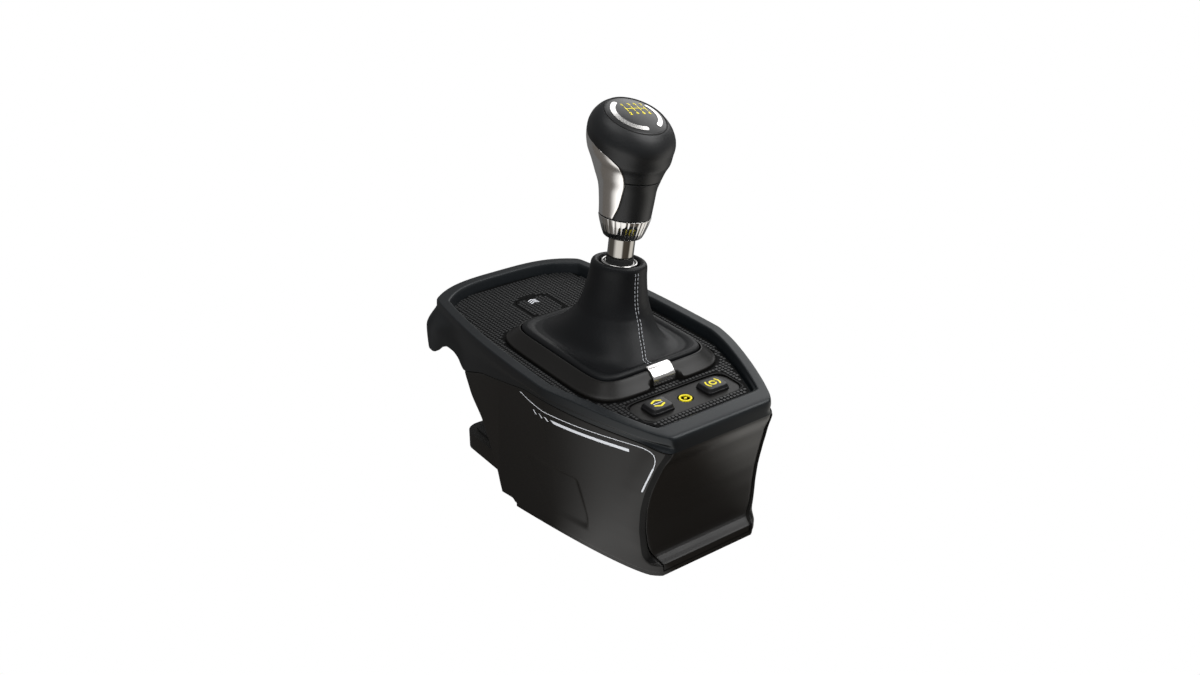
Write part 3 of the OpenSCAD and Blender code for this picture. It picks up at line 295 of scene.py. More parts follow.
finishes = {
    "black_plastic": finish_of("flank_plastic", (0.0058, 0.0054, 0.0050), 0.40, grain_scale=1900, bump=0.12,
                               specular=0.36),
    "tray_plastic": finish_of("tray_plastic", (0.0048, 0.0060, 0.0072), 0.40, grain_scale=1900, bump=0.10,
                              specular=0.42, tint=(0.94, 0.98, 1.0)),
    "deck_plastic": finish_of("deck_plastic", (0.0150, 0.0153, 0.0158), 0.46, grain_scale=2400, bump=0.1),
    "soft_grip": finish_of("grip_rubber", (0.0048, 0.0053, 0.0060), 0.42, grain_scale=2600, bump=0.1,
                           tone=0.2),
    "leatherette": finish_of("boot_leather", (0.0038, 0.0042, 0.0048), 0.44, grain_scale=1150, cells=0.75,
                             bump=0.32, depth=0.00008, tone=0.3, gloss=0.14, specular=0.25),
    "rubber": finish_of("pad_rubber", (0.012, 0.012, 0.012), 0.75, grain_scale=900, bump=0.3),
    "bright": finish_of("chrome", (0.70, 0.69, 0.675), 0.08, metal=1.0, bump=0, tone=0.04, gloss=0.04),
    "satin_silver": finish_of("satin_silver", (0.92, 0.905, 0.89), 0.21, metal=1.0, grain_scale=3800,
                              bump=0.05, tone=0.05, gloss=0.06),
    "steel": finish_of("machined_steel", (0.42, 0.43, 0.44), 0.33, metal=1.0, grain_scale=2600, bump=0.08,
                       tone=0.1),
    "brass": finish_of("brass", (0.60, 0.43, 0.16), 0.3, metal=1.0, grain_scale=2600, bump=0.06, tone=0.12),
    "board": finish_of("solder_mask", (0.012, 0.10, 0.045), 0.35, grain_scale=700, bump=0.1, coat=0.3),
    "chip": finish_of("chip_plastic", (0.016, 0.016, 0.017), 0.5, grain_scale=1600, bump=0.12),
    "lens": finish_of("yellow_print", (0.78, 0.66, 0.015), 0.45, grain_scale=2500, bump=0.05, tone=0.1),
    "key_plastic": finish_of("key_plastic", (0.0060, 0.0060, 0.0066), 0.36, grain_scale=2400, bump=0.08),
}
# The rings' chrome with a lower colour for the shaft: painted shade on the shaft
shaded_shaft_chrome = finish_of("shaded_shaft_chrome", (0.43, 0.415, 0.39), 0.08, metal=1.0, bump=0, tone=0.04, gloss=0.04)
white_print = finish_of("pale_print", (0.80, 0.82, 0.86), 0.5, grain_scale=2500, bump=0.05, tone=0.06)
badge_gloss = finish_of("badge_gloss", (0.0055, 0.0058, 0.0062), 0.30, grain_scale=3000, bump=0.04, tone=0.1)
# Near black for the gap round the key panel, the groove round the badge and the boot's seam: painted shade
painted_gap_shade = finish_of("painted_gap_shade", (0.003, 0.003, 0.003), 0.7, grain_scale=2000, bump=0.1)
# Darker and less glossy than the flank plastic: painted shade on the flank's rolled corner beside the front
painted_edge_shade = finish_of("painted_edge_shade", (0.0035, 0.0034, 0.0033), 0.5, grain_scale=1900, bump=0.1, specular=0.12)
# Near black and dull for the plates between the studs: painted shade in the grooves
painted_groove_shade = finish_of("painted_groove_shade", (0.0015, 0.0015, 0.0016), 0.70, grain_scale=2000, bump=0.1,
                         specular=0.1)
for part in frame["record"]["subparts"]:
    node = frame["nodes"][part["node"]]
    node.data.materials.clear()
    node.data.materials.append(finishes[part["material_slot"]])
print("finishes", len(finishes), "for the slots and 6 more for details")

# %% [markdown]
# ## Surfaces from numbers
# A surface is a grid of points, a function of two parameters. Four helpers turn grids into meshes: a closed
# band for a loft whose loops close on themselves, a shell between an outer and an inner grid, a lathe for
# turned pieces and a tube round a path. Millimetres are used throughout, as in the part's source, and the
# mesh gets metres.

# %% Curves
MM = 0.001


def mix(a, b, u):
    """A straight blend: a at u = 0 and b at u = 1."""
    return a + (b - a) * u


def ease(u):
    """Smooth step: 3u^2 - 2u^3 between 0 and 1."""
    c = np.clip(u, 0, 1)
    return c * c * (3 - 2 * c)


def through(px, py, x):
    """Cubic pieces through points, read at x. The slope at a point is 2ab / (a + b) of the rises a and b
    beside it, or 0 where they differ in sign, so that the curve never overshoots."""
    wide = (..., *[None] * (py.ndim - 1))
    step = np.diff(px)[wide]
    rise = np.diff(py, axis=0) / step
    product = rise[1:] * rise[:-1]
    same = product > 0
    inner = np.where(same, 2 * product / np.where(same, rise[1:] + rise[:-1], 1.0), 0.0)
    slope = np.concatenate([rise[:1], inner, rise[-1:]])
    x = np.clip(np.asarray(x, float), px[0], px[-1])
    i = np.clip(np.searchsorted(px, x, side="right") - 1, 0, len(px) - 2)
    u = np.asarray(x - px[i])[wide] / step[i]
    return (py[i] * (1 + 2 * u) * (1 - u) ** 2 + slope[i] * step[i] * u * (1 - u) ** 2
            + py[i + 1] * u * u * (3 - 2 * u) + slope[i + 1] * step[i] * u * u * (u - 1))


def curve(table, x):
    """A smooth curve through a table of (x, y), read at x."""
    return through(*np.array(table, float).T, x)


def spread(table, per_step):
    """Rows of a table joined by smooth curves, with per_step places in each step."""
    table = np.array(table, float)
    last = len(table) - 1
    return through(np.arange(last + 1), table, np.linspace(0, last, last * per_step + 1))


def unit(v):
    """Vectors divided by their own length."""
    return v / np.linalg.norm(v, axis=-1, keepdims=True)


def circle(count):
    """Angles at even steps round a full turn, the last one a step short of the first."""
    return np.linspace(0, 2 * np.pi, count, endpoint=False)


def lengths(path):
    """The length of a path up to each of its points: a running sum of its straight pieces."""
    return np.concatenate([[0], np.cumsum(np.linalg.norm(np.diff(path, axis=0), axis=1))])


print("a curve through (0, 0), (1, 1) and (2, 1) is at", curve([(0, 0), (1, 1), (2, 1)], .5), "halfway to 1")


# %% Meshes
def grid_faces(rows, cols, wrap_cols=False, wrap_rows=False, start=0):
    """Quads of a grid of points listed row by row: corner, next column, next row's two corners."""
    r = np.arange(rows if wrap_rows else rows - 1)[:, None]
    c = np.arange(cols if wrap_cols else cols - 1)[None, :]
    r2, c2 = (r + 1) % rows, (c + 1) % cols
    quads = np.stack([r * cols + c, r * cols + c2, r2 * cols + c2, r2 * cols + c], -1)
    return quads.reshape(-1, 4) + start


def band_faces(grid):
    """Faces of a loft whose rows and columns both close on themselves."""
    return [grid_faces(*grid.shape[:2], wrap_cols=True, wrap_rows=True)]


def tube_faces(grid):
    """Faces of a tube: the grid closed round its columns, and one face at each end."""
    rows, cols = grid.shape[:2]
    ring = np.arange(cols)[None]
    return [grid_faces(rows, cols, wrap_cols=True), ring[:, ::-1], (rows - 1) * cols + ring]


def shell_faces(rows, cols, start=0):
    """Faces of a closed shell: the outer grid, the inner grid turned round, and the four edges between."""
    outer = grid_faces(rows, cols, start=start)
    inner = grid_faces(rows, cols, start=start + rows * cols)[:, ::-1]
    i = np.arange(rows * cols).reshape(rows, cols)
    rim = np.concatenate([i[0, :-1], i[:-1, -1], i[-1, :0:-1], i[:0:-1, 0]]) + start
    nxt = np.roll(rim, -1)
    return [outer, inner, np.stack([nxt, rim, rim + rows * cols, nxt + rows * cols], -1)]


def turned_over(faces, sign):
    """The face lists as they are for a positive sign, and turned round for a negative one."""
    return faces if sign > 0 else [f[:, ::-1] for f in faces]


def make_piece(name, points, faces, finish, body, slot=None, crease=40):
    """A mesh object from points in mm and face lists, shaded smooth up to the crease angle. It rides on a
    body, or is handed to a function given in its place. It replaces the CAD node that has its name, if any."""
    mesh = bpy.data.meshes.new(name)
    lists = [f for group in faces for f in np.asarray(group).tolist()]
    mesh.from_pydata((np.asarray(points, float).reshape(-1, 3) * MM).tolist(), [], lists)
    mesh.validate()
    mesh.polygons.foreach_set("use_smooth", np.ones(len(mesh.polygons), bool))
    mesh.set_sharp_from_angle(angle=math.radians(crease))
    mesh.materials.append(finish)
    piece = bpy.data.objects.new(name, mesh)
    scene.collection.objects.link(piece)
    if callable(body):
        body(piece)
    else:
        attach(piece, body)
    if name in frame["nodes"]:
        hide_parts(name)
    return piece


print("a shell of 3 by 4 points has", sum(map(len, shell_faces(3, 4))), "faces")


# %% Profiles and tubes
def rounded(profile, radius, steps=4):
    """A polyline with each inner corner replaced by a short parabola that starts radius before it."""
    p = np.array(profile, float)
    out = [p[0]]
    for a, b, c in zip(p[:-2], p[1:-1], p[2:]):
        ra, rc = (min(radius, 0.45 * far) / max(far, 1e-9) for far in (np.linalg.norm(k - b) for k in (a, c)))
        u = np.linspace(0, 1, steps + 1)[:, None]
        out.extend((1 - u) ** 2 * mix(b, a, ra) + 2 * u * (1 - u) * b + u * u * mix(b, c, rc))
    out.append(p[-1])
    return np.array(out)


def lathe_points(profile, turns):
    """Each (r, z) of the profile carried round the z axis."""
    a = circle(turns)
    r, z = profile[:, :1], np.repeat(profile[:, 1:], turns, 1)
    return np.stack([r * np.cos(a), r * np.sin(a), z], -1)


def tube_points(place, side, out, radius, count=8):
    """A ring round each place: place + radius * (cos q * side + sin q * out), for q round a full turn."""
    q = circle(count)[:, None]
    return place[..., None, :] + radius * (np.cos(q) * side[..., None, :] + np.sin(q) * out[..., None, :])


print("an L with its corner rounded has", len(rounded([(0, 0), (1, 0), (1, 1)], .3)), "points")

# %% [markdown]
# ## Flanks and front
# The body is drawn by a few curves: how wide the foot and the rim are at a distance t back from the front
# lip, where the front face bends in at a height z, and how the corner between front and flank is rolled.
# Each flank is a grid over (u, v), u running back and v running up, with a second grid a wall thickness
# inside it. An injection mould would make it in the same way, one cavity side and one core side.

# %% Sizes of the body
FRONT_Y = -62.0
FRONT_TOP, PARTING, RIM, DECK, LEDGE = 86.0, 69.5, 100.5, 94.5, 92.0
TRAY_LEN, BACK_BOW, BOW_POWER, SHOULDER, WING, FOOT_END = 236.0, 15.5, 3.4, 81.0, 174.0, 116.0
CORNER = TRAY_LEN - BACK_BOW
WALL, SEAM = 2.6, 0.25
RIM_FRONT, RIM_WIDE, RIM_BACK, FOOT_FRONT, FOOT_WIDE = 69, 131, 110, 68, 132
FLANK_LOW, FLANK_LOW_BACK, FLANK_LEN, FLANK_TALL = 2.75, 4.85, 110, 84
SCOOP_DEEP, SCOOP_FRONT, SCOOP_BACK, SCOOP_LOW, SCOOP_HIGH = 2.2, 53, 104, 12, 48
CHEEK, CHEEK_LEN, TOE_ROUND, SIDE_ROUND = 6.5, 9, 5.0, 3.3
# How far back the front lies, against the share of its height
FRONT_T = [(0, 8), (.08, 8), (.084, 8.3), (.099, 11), (.114, 13.2), (.131, 14.5), (.16, 15.1), (.36, 15.9),
           (.51, 14.8), (.61, 12.9), (.69, 11), (.76, 8.9), (.88, 5.3), (.95, 2.3), (1, .4)]
# Half width of the front, against the same share
PANEL_HALF = [(0, 33.6), (.08, 33.8), (.11, 35.6), (.14, 37.4), (.18, 39), (.22, 40), (.33, 41.2),
              (.51, 41.7), (.64, 41.4), (.76, 40.3), (.88, 38.7), (1, 36.5)]
# Share of the way from the foot's end back to the wing, against the share of the height up to the parting
BACK_T = [(0, .215), (.06, .215), (.27, .3), (.47, .43), (.66, .605), (.8, .83), (1, 1)]
# Height of the tray's skirt against the distance back from the front lip
SKIRT = [(0, 86), (81, 92), (100, 90.5), (150, 79), (174, 69.5), (177, 70.5), (182, 75), (188, 77),
         (197, 77), (205, 73), (212, 67), (217, 65), (256, 65)]
print("body from the front lip to the corners", CORNER, "mm, wall", WALL)


# %% Curves of the body
def softened(table, x, width):
    """Straight pieces through the table, averaged over three places a width apart: 1, 2, 1 parts."""
    px, py = np.array(table, float).T
    return (np.interp(x - width, px, py) + 2 * np.interp(x, px, py) + np.interp(x + width, px, py)) / 4


def smooth_softened(table, x, width):
    """That average again over nine places, so that a highlight shows no straight pieces."""
    places = np.linspace(-1, 1, 9)[:, None] * width * 0.75
    weights = (1 - np.abs(np.linspace(-1, 1, 9)) * 0.8)[:, None]
    values = softened(table, np.ravel(x)[None, :] + places, width)
    return ((values * weights).sum(0) / weights.sum()).reshape(np.shape(x))


def front_t(z):
    """How far back the front lies at height z: the table, averaged over a longer way above the toe."""
    height = np.ravel(np.asarray(z, float)) / FRONT_TOP
    return smooth_softened(FRONT_T, height, .0025 + .0205 * ease((height - .12) / .08)).reshape(np.shape(z))


def panel_half(z):
    """Half width of the front at height z, from its table."""
    return smooth_softened(PANEL_HALF, np.asarray(z, float) / FRONT_TOP, .02)


def back_t(z):
    """The flank's back edge: from the foot's end to the wing by the share in the table."""
    return FOOT_END + (WING - FOOT_END) * smooth_softened(BACK_T, np.asarray(z, float) / PARTING, .04)


def skirt_z(t):
    """Height of the tray's lower border at t, from its table."""
    return smooth_softened(SKIRT, np.asarray(t, float), 1.2)


def rim_half(t):
    """The rim's half width: the mean of a line and a sine to the shoulder, then a power curve to the back."""
    u = np.clip(t / SHOULDER, 0, 1)
    v = np.clip((t - SHOULDER) / (CORNER - SHOULDER), 0, 1)
    return np.where(t < SHOULDER, mix(RIM_FRONT, RIM_WIDE, (u + np.sin(u * np.pi / 2)) / 2),
                    mix(RIM_WIDE, RIM_BACK, v ** 2.6)) / 2


def foot_half(t):
    """The foot's half width: a power curve from its front to its back."""
    return mix(FOOT_FRONT, FOOT_WIDE, np.clip((t - 8) / 122, 0, 1) ** .565) / 2


print("rim half widths", np.round(rim_half(np.array([0., 81., 220.])), 1))


# %% Width of the body
def scoop(t, z):
    """The hollow in the flank: its depth times a fade to the back, a crisp front edge that slants back as it
    rises, and eased borders below and above."""
    fade = np.clip((SCOOP_BACK - t - (47 - z) * .6) / 40, 0, 1)
    edge = ease((t - SCOOP_FRONT - .25 * np.maximum(0, z - 22)) / 5)
    return SCOOP_DEEP * fade * edge * ease((z - SCOOP_LOW) / 5) * ease((SCOOP_HIGH - z) / 4)


def side_half(t, z):
    """Half width at (t, z). Foot and rim are blended by height. A cheek that grows behind the front as
    1 - e^-x takes over where it is wider, by the smooth maximum (a + b + sqrt((a - b)^2 + 4)) / 2. A quarter
    round then leads to the front, and the scoop is taken off."""
    plan = mix(foot_half(t), rim_half(t), ease(z / RIM))
    behind = np.maximum(0, t - front_t(z))
    cheek = panel_half(z) + CHEEK * (1 - np.exp(-behind / CHEEK_LEN))
    full = (plan + cheek + np.sqrt((plan - cheek) ** 2 + 4)) / 2
    d = np.clip(behind / mix(TOE_ROUND, SIDE_ROUND, ease((z - 6) / 8)), 0, 1)
    roll = 1 - np.sqrt(1 - (1 - d) ** 2)
    return full - (full - panel_half(z)) * roll - scoop(t, z)


print("half widths at mid height", np.round(side_half(np.array([30., 80., 120.]), 50.), 1))


# %% Flanks
def flank_place(u, v):
    """(t, z) of the flank at u back and v up: its ends follow the front curve and the back curve."""
    t = mix(front_t(mix(FLANK_LOW, FRONT_TOP, v)), back_t(mix(FLANK_LOW_BACK, PARTING, v)), u)
    low = mix(FLANK_LOW, FLANK_LOW_BACK, ease((t - FOOT_END) / 3))
    high = mix(FRONT_TOP, PARTING, u)
    top = np.where(t < WING, skirt_z(t), PARTING) - SEAM
    return t, mix(low, high, v) + v ** 4 * (top - high)


def edge_steps(count, length, radius=0.5):
    """Parameters from 0 to 1: even in the middle, and close together within the radius of both ends."""
    ends = np.array([0, .05, .2, .45, .75, 1]) * radius / length
    return np.concatenate([ends[:-1], np.linspace(ends[-1], 1 - ends[-1], count), 1 - ends[-2::-1]])


def rolled(u, length, radius=0.5):
    """How far a skin draws back near both ends of u so that its border is a quarter round of the radius."""
    d = np.clip(1 - np.minimum(u, 1 - u) * length / radius, 0, 1)
    return radius * (1 - np.sqrt(1 - d * d))


def up_steps(count, length):
    """Steps up the flank and the front, with close ones through the toe's lip and ledge."""
    return np.unique(np.concatenate([edge_steps(count, length), np.linspace(3.4, 8.5, 36) / length]))


def add_flank(name, sign):
    """x = the half width less the rolled border, with the inner skin a wall further in; mirrored for the
    left. The columns crowd to the front as u^1.15."""
    columns, rows = edge_steps(150, FLANK_LEN) ** 1.15, up_steps(100, FLANK_TALL)
    u, v = np.broadcast_arrays(columns[None, :], rows[:, None])
    t, z = flank_place(u, v)
    half = side_half(t, z)
    border = np.maximum(rolled(v, FLANK_TALL), rolled(np.maximum(u, .5), FLANK_LEN))
    outer = np.stack([sign * (half - border), FRONT_Y + t, z], -1)
    k = 1 - np.clip((t - front_t(z)) / (2 * WALL), 0, 1)
    inner = np.stack([sign * (half - WALL * (1 - .6 * k)), FRONT_Y + t + WALL * k, z], -1)
    return make_piece(name, np.stack([outer, inner]), turned_over(shell_faces(*u.shape), sign),
                      finishes["black_plastic"], "housing", "black_plastic")


flanks = [add_flank("right_shell", 1), add_flank("left_shell", -1)]
print("flank faces", [len(f.data.polygons) for f in flanks])

# %% Front panel
PANEL_WIDE, PANEL_TALL, PANEL_GAP, PANEL_SET, EDGE_WIDE = 74, 83, 1.2, .8, 2.6


def add_front():
    """x runs across between the flanks, and y follows the front curve, set back but flush at the top."""
    u, v = np.broadcast_arrays(edge_steps(40, PANEL_WIDE)[None, :], up_steps(90, PANEL_TALL)[:, None])
    z = mix(FLANK_LOW, FRONT_TOP + .3, v)
    half = panel_half(z) - PANEL_GAP
    y = FRONT_Y + front_t(z) + PANEL_SET * (1 - ease((z - 72) / 12))
    border = np.maximum(rolled(u, PANEL_WIDE, .8), rolled(np.minimum(v, .5), PANEL_TALL))
    outer = np.stack([mix(-half, half, u), y + border, z], -1)
    inner = np.stack([mix(-half, half, u) * .985, y + WALL, z], -1)
    return make_piece("front_panel", np.stack([outer, inner]), shell_faces(*u.shape),
                      finishes["black_plastic"], "housing", "black_plastic")


def add_edge(name, sign):
    """A strip of painted shade on a flank beside the front, darker and duller than the flank: laid a little
    over the rolled corner.
    """
    a, z = np.broadcast_arrays(np.linspace(0, EDGE_WIDE, 9)[None, :], np.linspace(8.6, 85.7, 120)[:, None])
    t = front_t(z) + a
    skins = [np.stack([sign * (side_half(t, z) + lift), FRONT_Y + t - lift * (1 - a / EDGE_WIDE), z], -1)
             for lift in (.06, -.2)]
    return make_piece(name, np.stack(skins), turned_over(shell_faces(*z.shape), sign), painted_edge_shade, "housing",
                      "black_plastic")


front = add_front()
edges = [add_edge("right_edge", 1), add_edge("left_edge", -1)]
print("front faces", len(front.data.polygons), "edge strips", len(edges))

# %% [markdown]
# ## Tray
# The tray is one moulding: a skirt that swings down behind into the lip that rests on the desk, a rolled
# rim, an inner wall and a ledge for the deck. It is a loft: every row is a closed outline in plan, set at
# heights that follow the rim, and a smooth curve runs across the rows from the skirt over the rim to the
# ledge and back inside. One mould with a sliding core for the lip would make it.


# %% Outlines of the tray
def plan_loop(half, front, back, across=26, along=200, behind=70):
    """(x, t) round a row: over the front edge, back along the right side and round the bowed back, where t
    gains the bow times 1 - u^power as x falls to 0, then the same mirrored."""
    end = CORNER - back
    start_half, end_half = half(np.array(front)), half(np.array(end))
    f = np.stack([start_half * np.linspace(0, 1, across + 1), np.full(across + 1, front)], -1)
    t = mix(front, end, np.linspace(0, 1, along + 1)[1:] ** 1.08)
    u = np.linspace(1, 0, behind + 1)[1:]
    b = np.stack([end_half * u, end + BACK_BOW * (1 - u ** BOW_POWER)], -1)
    right = np.concatenate([f, np.stack([half(t), t], -1), b])
    return np.concatenate([right, right[-2:0:-1] * (-1, 1)])


def relax(loop, rounds):
    """Each round moves a point to a quarter, half, quarter mean with its neighbours: it rounds corners."""
    for _ in range(rounds):
        loop = (np.roll(loop, 1, 0) + 2 * loop + np.roll(loop, -1, 0)) / 4
    return loop


def rim_height(t):
    """Height of the rim's land: lower in front, level along the sides and a little higher behind."""
    return RIM - 4.2 * (1 - ease(t / 70)) + .8 * ease((t - 140) / 80)


def under_rim(side, ahead):
    """Height below the rim: one drop along the sides, and another one near the front lip."""
    return lambda t: rim_height(t) - mix(side, ahead, 1 - ease((t - 3) / 16))


def level(z):
    """The same height all round."""
    return lambda t: 0 * t + z


def raised(d):
    """The height of the skirt's border, raised by d."""
    return lambda t: skirt_z(t) + d


def swell(t):
    """How much of its swelling the back has, eased in behind the wing."""
    return ease((t - WING) / 40)


def inset(d):
    """The rim's half width, up to 1.4 mm fuller behind the front corners, less d."""
    return lambda t: rim_half(t) + 1.4 * ease(t / 8) * (1 - ease((t - 15) / 45)) - d


def skirt(d):
    """The flank's half width at the skirt's border, swollen by up to 3 mm behind, less d."""
    return lambda t: side_half(t, skirt_z(t)) + 3 * swell(t) - d


def belly(t):
    """The half width halfway up the skirt: the rim's, swollen by up to 5.5 mm behind."""
    return rim_half(t) + 5.5 * swell(t)


print("rim heights", np.round(rim_height(np.array([0., 70., 220.])), 1))

# %% Tray
rim_foot = under_rim(5, 4.6)
# Half width, inset in front, inset behind and height of each row, from the skirt's foot over the rim and back
TRAY_ROWS = [
    (skirt(.35), .5, -2.6, skirt_z), (skirt(0), .36, -3, raised(.35)),
    (belly, .4, -5.5, lambda t: (skirt_z(t) + rim_foot(t)) / 2), (inset(-.7), .5, 2.4, rim_foot),
    (inset(-.6), .9, 2.9, under_rim(1.0, 2.2)), (inset(-.3), 1.9, 3.4, under_rim(.25, .9)),
    (inset(.4), 3.8, 4.4, under_rim(0, .25)), (inset(5.2), 11.6, 9, under_rim(0, 0)),
    (inset(6.1), 12.9, 10, under_rim(.25, .2)), (inset(6.6), 13.7, 10.5, under_rim(1, .6)),
    (inset(7.9), 15.1, 12, level(DECK + .6)), (inset(8.4), 15.5, 12.5, level(LEDGE + .3)),
    (inset(9), 15.9, 13, level(LEDGE)), (inset(15), 21, 17, level(LEDGE)), (inset(15), 21, 16, level(90)),
    (inset(3.6), 5, 3.6, level(90)), (skirt(WALL), WALL, WALL - 3, raised(.1)),
    (skirt(1.2), 1.2, -1.8, skirt_z)]
CURVED_ROWS = 13


def add_tray():
    """The outer rows joined by smooth curves over the rim, the rest straight inside, closed foot to foot."""
    loops = []
    for half, front_edge, back_edge, height in TRAY_ROWS:
        x, t = relax(plan_loop(half, front_edge, back_edge), 5).T
        loops.append(np.stack([x, FRONT_Y + t, height(t)], -1))
    loops = np.array(loops)
    at = np.concatenate([[0, 1], np.linspace(1, 11, 71)[1:], np.linspace(11, 12, 5)[1:]])
    grid = np.concatenate([through(np.arange(CURVED_ROWS), loops[:CURVED_ROWS], at), loops[CURVED_ROWS:]])
    return make_piece("top_tray", grid, band_faces(grid), finishes["tray_plastic"], "housing",
                      "tray_plastic", 50)


tray = add_tray()
print("tray faces", len(tray.data.polygons))

# %% [markdown]
# ## Deck
# The deck is a plate with a grid of small raised squares, the kind of grip that a mould gets from a milled
# grid of grooves. The plate keeps its CAD mesh and is painted near black, as painted shade in the grooves
# between the studs. The studs are one mesh of many low pyramids with flat tops, kept only where all four
# corners clear the plate's edge and its openings. A dark ring is painted shade in the gap round the key
# panel.

# %% Where the studs go
PANEL_Y, PANEL_A, PANEL_B, PANEL_POWER = -28.5, 35, 11.5, 8
TAB_Y, TAB_A, TAB_B, TAB_MARK_Y = 119.0, 11.7, 15.2, 127.5
FRAME_Y, FRAME_A, FRAME_B = FRONT_Y + 106, 47.75, 56.5
FRAME_FRONT = FRAME_Y - FRAME_B
DECK_SIDE, DECK_FRONT, DECK_BACK = 9.25, 15.85, 12.6


def outside_box(x, y, cy, hx, hy, n):
    """True outside a rounded box about (0, cy): |x/hx|^n + |dy/hy|^n over 1."""
    return (np.abs(x) / hx) ** n + (np.abs(y - cy) / hy) ** n > 1


def on_deck(x, y, reach):
    """True where a stud of the given reach clears the deck's edge, the key panel, the tab and the boot frame,
    or lies in the frame's notch."""
    t = y - FRONT_Y
    edge = CORNER - DECK_BACK
    back = edge + BACK_BOW * (1 - (np.abs(x) / rim_half(np.array(edge))) ** BOW_POWER)
    keep = (np.abs(x) < rim_half(t) - DECK_SIDE - reach) & (t > DECK_FRONT + reach) & (t < back - reach)
    keep &= outside_box(x, y, PANEL_Y, PANEL_A + reach, PANEL_B + reach, PANEL_POWER)
    notch = (np.abs(x) < 9.5) & (y < FRAME_FRONT + 2.2)
    keep &= outside_box(x, y, FRAME_Y, FRAME_A + .4 + reach, FRAME_B + .4 + reach, 5.5) | notch
    return keep & outside_box(x, y, TAB_Y, TAB_A + .1 + reach, TAB_B + .1 + reach, 6)


def on_tab(x, y, reach):
    """True on the release tab, clear of its edge and of the mark printed on it."""
    icon = (np.abs(x) < 3.4) & (np.abs(y - TAB_MARK_Y) < 3.6)
    return ~outside_box(x, y, TAB_Y, TAB_A - reach, TAB_B - reach, 6) & ~icon


print("the frame starts at y =", FRAME_FRONT)


# %% Studs and groove
def add_studs(name, body, wanted, pitch=2.5, base=.92, top=.78, height=.42):
    """A square frustum at every place of a grid where wanted(x, y, reach) is true."""
    gx, gy = (k.ravel() for k in np.meshgrid(np.arange(-26, 27) * pitch, FRONT_Y + np.arange(4, 95) * pitch))
    keep = wanted(gx, gy, base + .35)
    places = np.stack([gx, gy, 0 * gx], -1)[keep]
    frustum = np.array([(x * half, y * half, z) for half, z in ((base, DECK - .05), (top, DECK + height))
                        for x, y in ((-1, -1), (1, -1), (1, 1), (-1, 1))])
    box = np.array([(4, 5, 6, 7), (0, 1, 5, 4), (1, 2, 6, 5), (2, 3, 7, 6), (3, 0, 4, 7), (3, 2, 1, 0)])
    faces = (box + 8 * np.arange(len(places))[:, None, None]).reshape(-1, 4)
    return make_piece(name, places[:, None] + frustum, [faces], finishes["deck_plastic"], body,
                      "deck_plastic", 20)


def super_point(a, b, n, q):
    """(x, y) of a superellipse at the polar angle q, where r = (|cos q / a|^n + |sin q / b|^n)^(-1/n)."""
    r = (np.abs(np.cos(q) / a) ** n + np.abs(np.sin(q) / b) ** n) ** (-1 / n)
    return r * np.cos(q), r * np.sin(q)


def super_loop(a, b, n, count=288):
    """Superellipses at even angles from the front round to the right, one row for each a, b and n."""
    return super_point(*(np.asarray(k, float)[..., None] for k in (a, b, n)), circle(count) - np.pi / 2)


def add_groove(gap=.05, wide=.7):
    """A flat ring of painted shade in the gap round the key panel: two superellipses its width apart, given a
    little thickness.
    """
    inner, outer = (np.stack(super_loop(PANEL_A + d, PANEL_B + d, PANEL_POWER), -1)
                    for d in (gap, gap + wide))
    flat = np.stack([inner, outer, outer, inner]) + (0, PANEL_Y)
    height = np.broadcast_to(DECK + np.array([.06, .06, -.2, -.2])[:, None, None], flat.shape[:2] + (1,))
    grid = np.concatenate([flat, height], -1)
    return make_piece("panel_groove", grid, turned_over(band_faces(grid), -1), painted_gap_shade, "housing")


# The deck plate and the tab plate show between the studs: near black, as painted shade in the grooves
for plate in ("deck_inlay", "release_tab"):
    frame["nodes"][plate].data.materials[0] = painted_groove_shade
studs = [add_studs("deck_studs", "housing", on_deck), add_studs("tab_studs", "release_tab", on_tab)]
groove = add_groove()
print("studs", [len(s.data.polygons) // 6 for s in studs], "groove", groove.name)

# %% [markdown]
# ## Boot frame and clip
# The frame is a rounded rectangle ring that slopes up to a crest, with a notch in front where a bent strip
# of bright metal clips over it. Both are profiles carried along a path: the frame's rows run round a
# superellipse, which is the curve |x/a|^n + |y/b|^n = 1, and the strip is a bent line given a width.

# %% Boot frame and clip
# Inset in x, inset in y, exponent and height of each row, from the outer foot over the crest to the inside
FRAME_ROWS = [
    (.5, .5, 5.5, 94.3), (0, 0, 5.5, 94.9), (0, 0, 5.5, 95.7), (.3, .3, 5.5, 96.4), (1.2, 1.2, 5.5, 97.1),
    (4.0, 4.2, 6, 99.5), (7.1, 7.3, 6.5, 102.4), (7.8, 8.1, 7, 102.95), (8.3, 8.8, 7.3, 103),
    (8.65, 9.2, 7.6, 102.85), (8.8, 9.4, 8, 102.3), (8.9, 9.5, 8, 96.5), (8, 9, 7.5, 94.6)]
NOTCH_DEEP, NOTCH_HALF, NOTCH_RAMP = 4.0, 13.6, 4.2
CLIP_WIDE, CLIP_THICK = 16, 1.2
CLIP_LINE = [(3.9, DECK + .5), (3.9, 99.2), (8.0, 103.2), (10.6, 103.3)]


def add_boot_frame():
    """The rows joined by smooth curves round the ring, pressed in at the front by the notch."""
    rows = spread(FRAME_ROWS, 6)
    x, y = super_loop(FRAME_A - rows[:, 0], FRAME_B - rows[:, 1], rows[:, 2])
    notch = NOTCH_DEEP * ease((NOTCH_HALF - np.abs(x)) / NOTCH_RAMP) * (y < 0)
    pressed = np.maximum(y, notch - FRAME_B + .25 * np.clip(rows[:, 1:2] / 4, 0, 1))
    y = np.where(notch > 0, pressed, y)
    grid = np.stack([x, FRAME_Y + y, np.broadcast_to(rows[:, 3:], x.shape)], -1)
    return make_piece("boot_frame", grid, band_faces(grid), finishes["black_plastic"], "housing",
                      "black_plastic", 32)


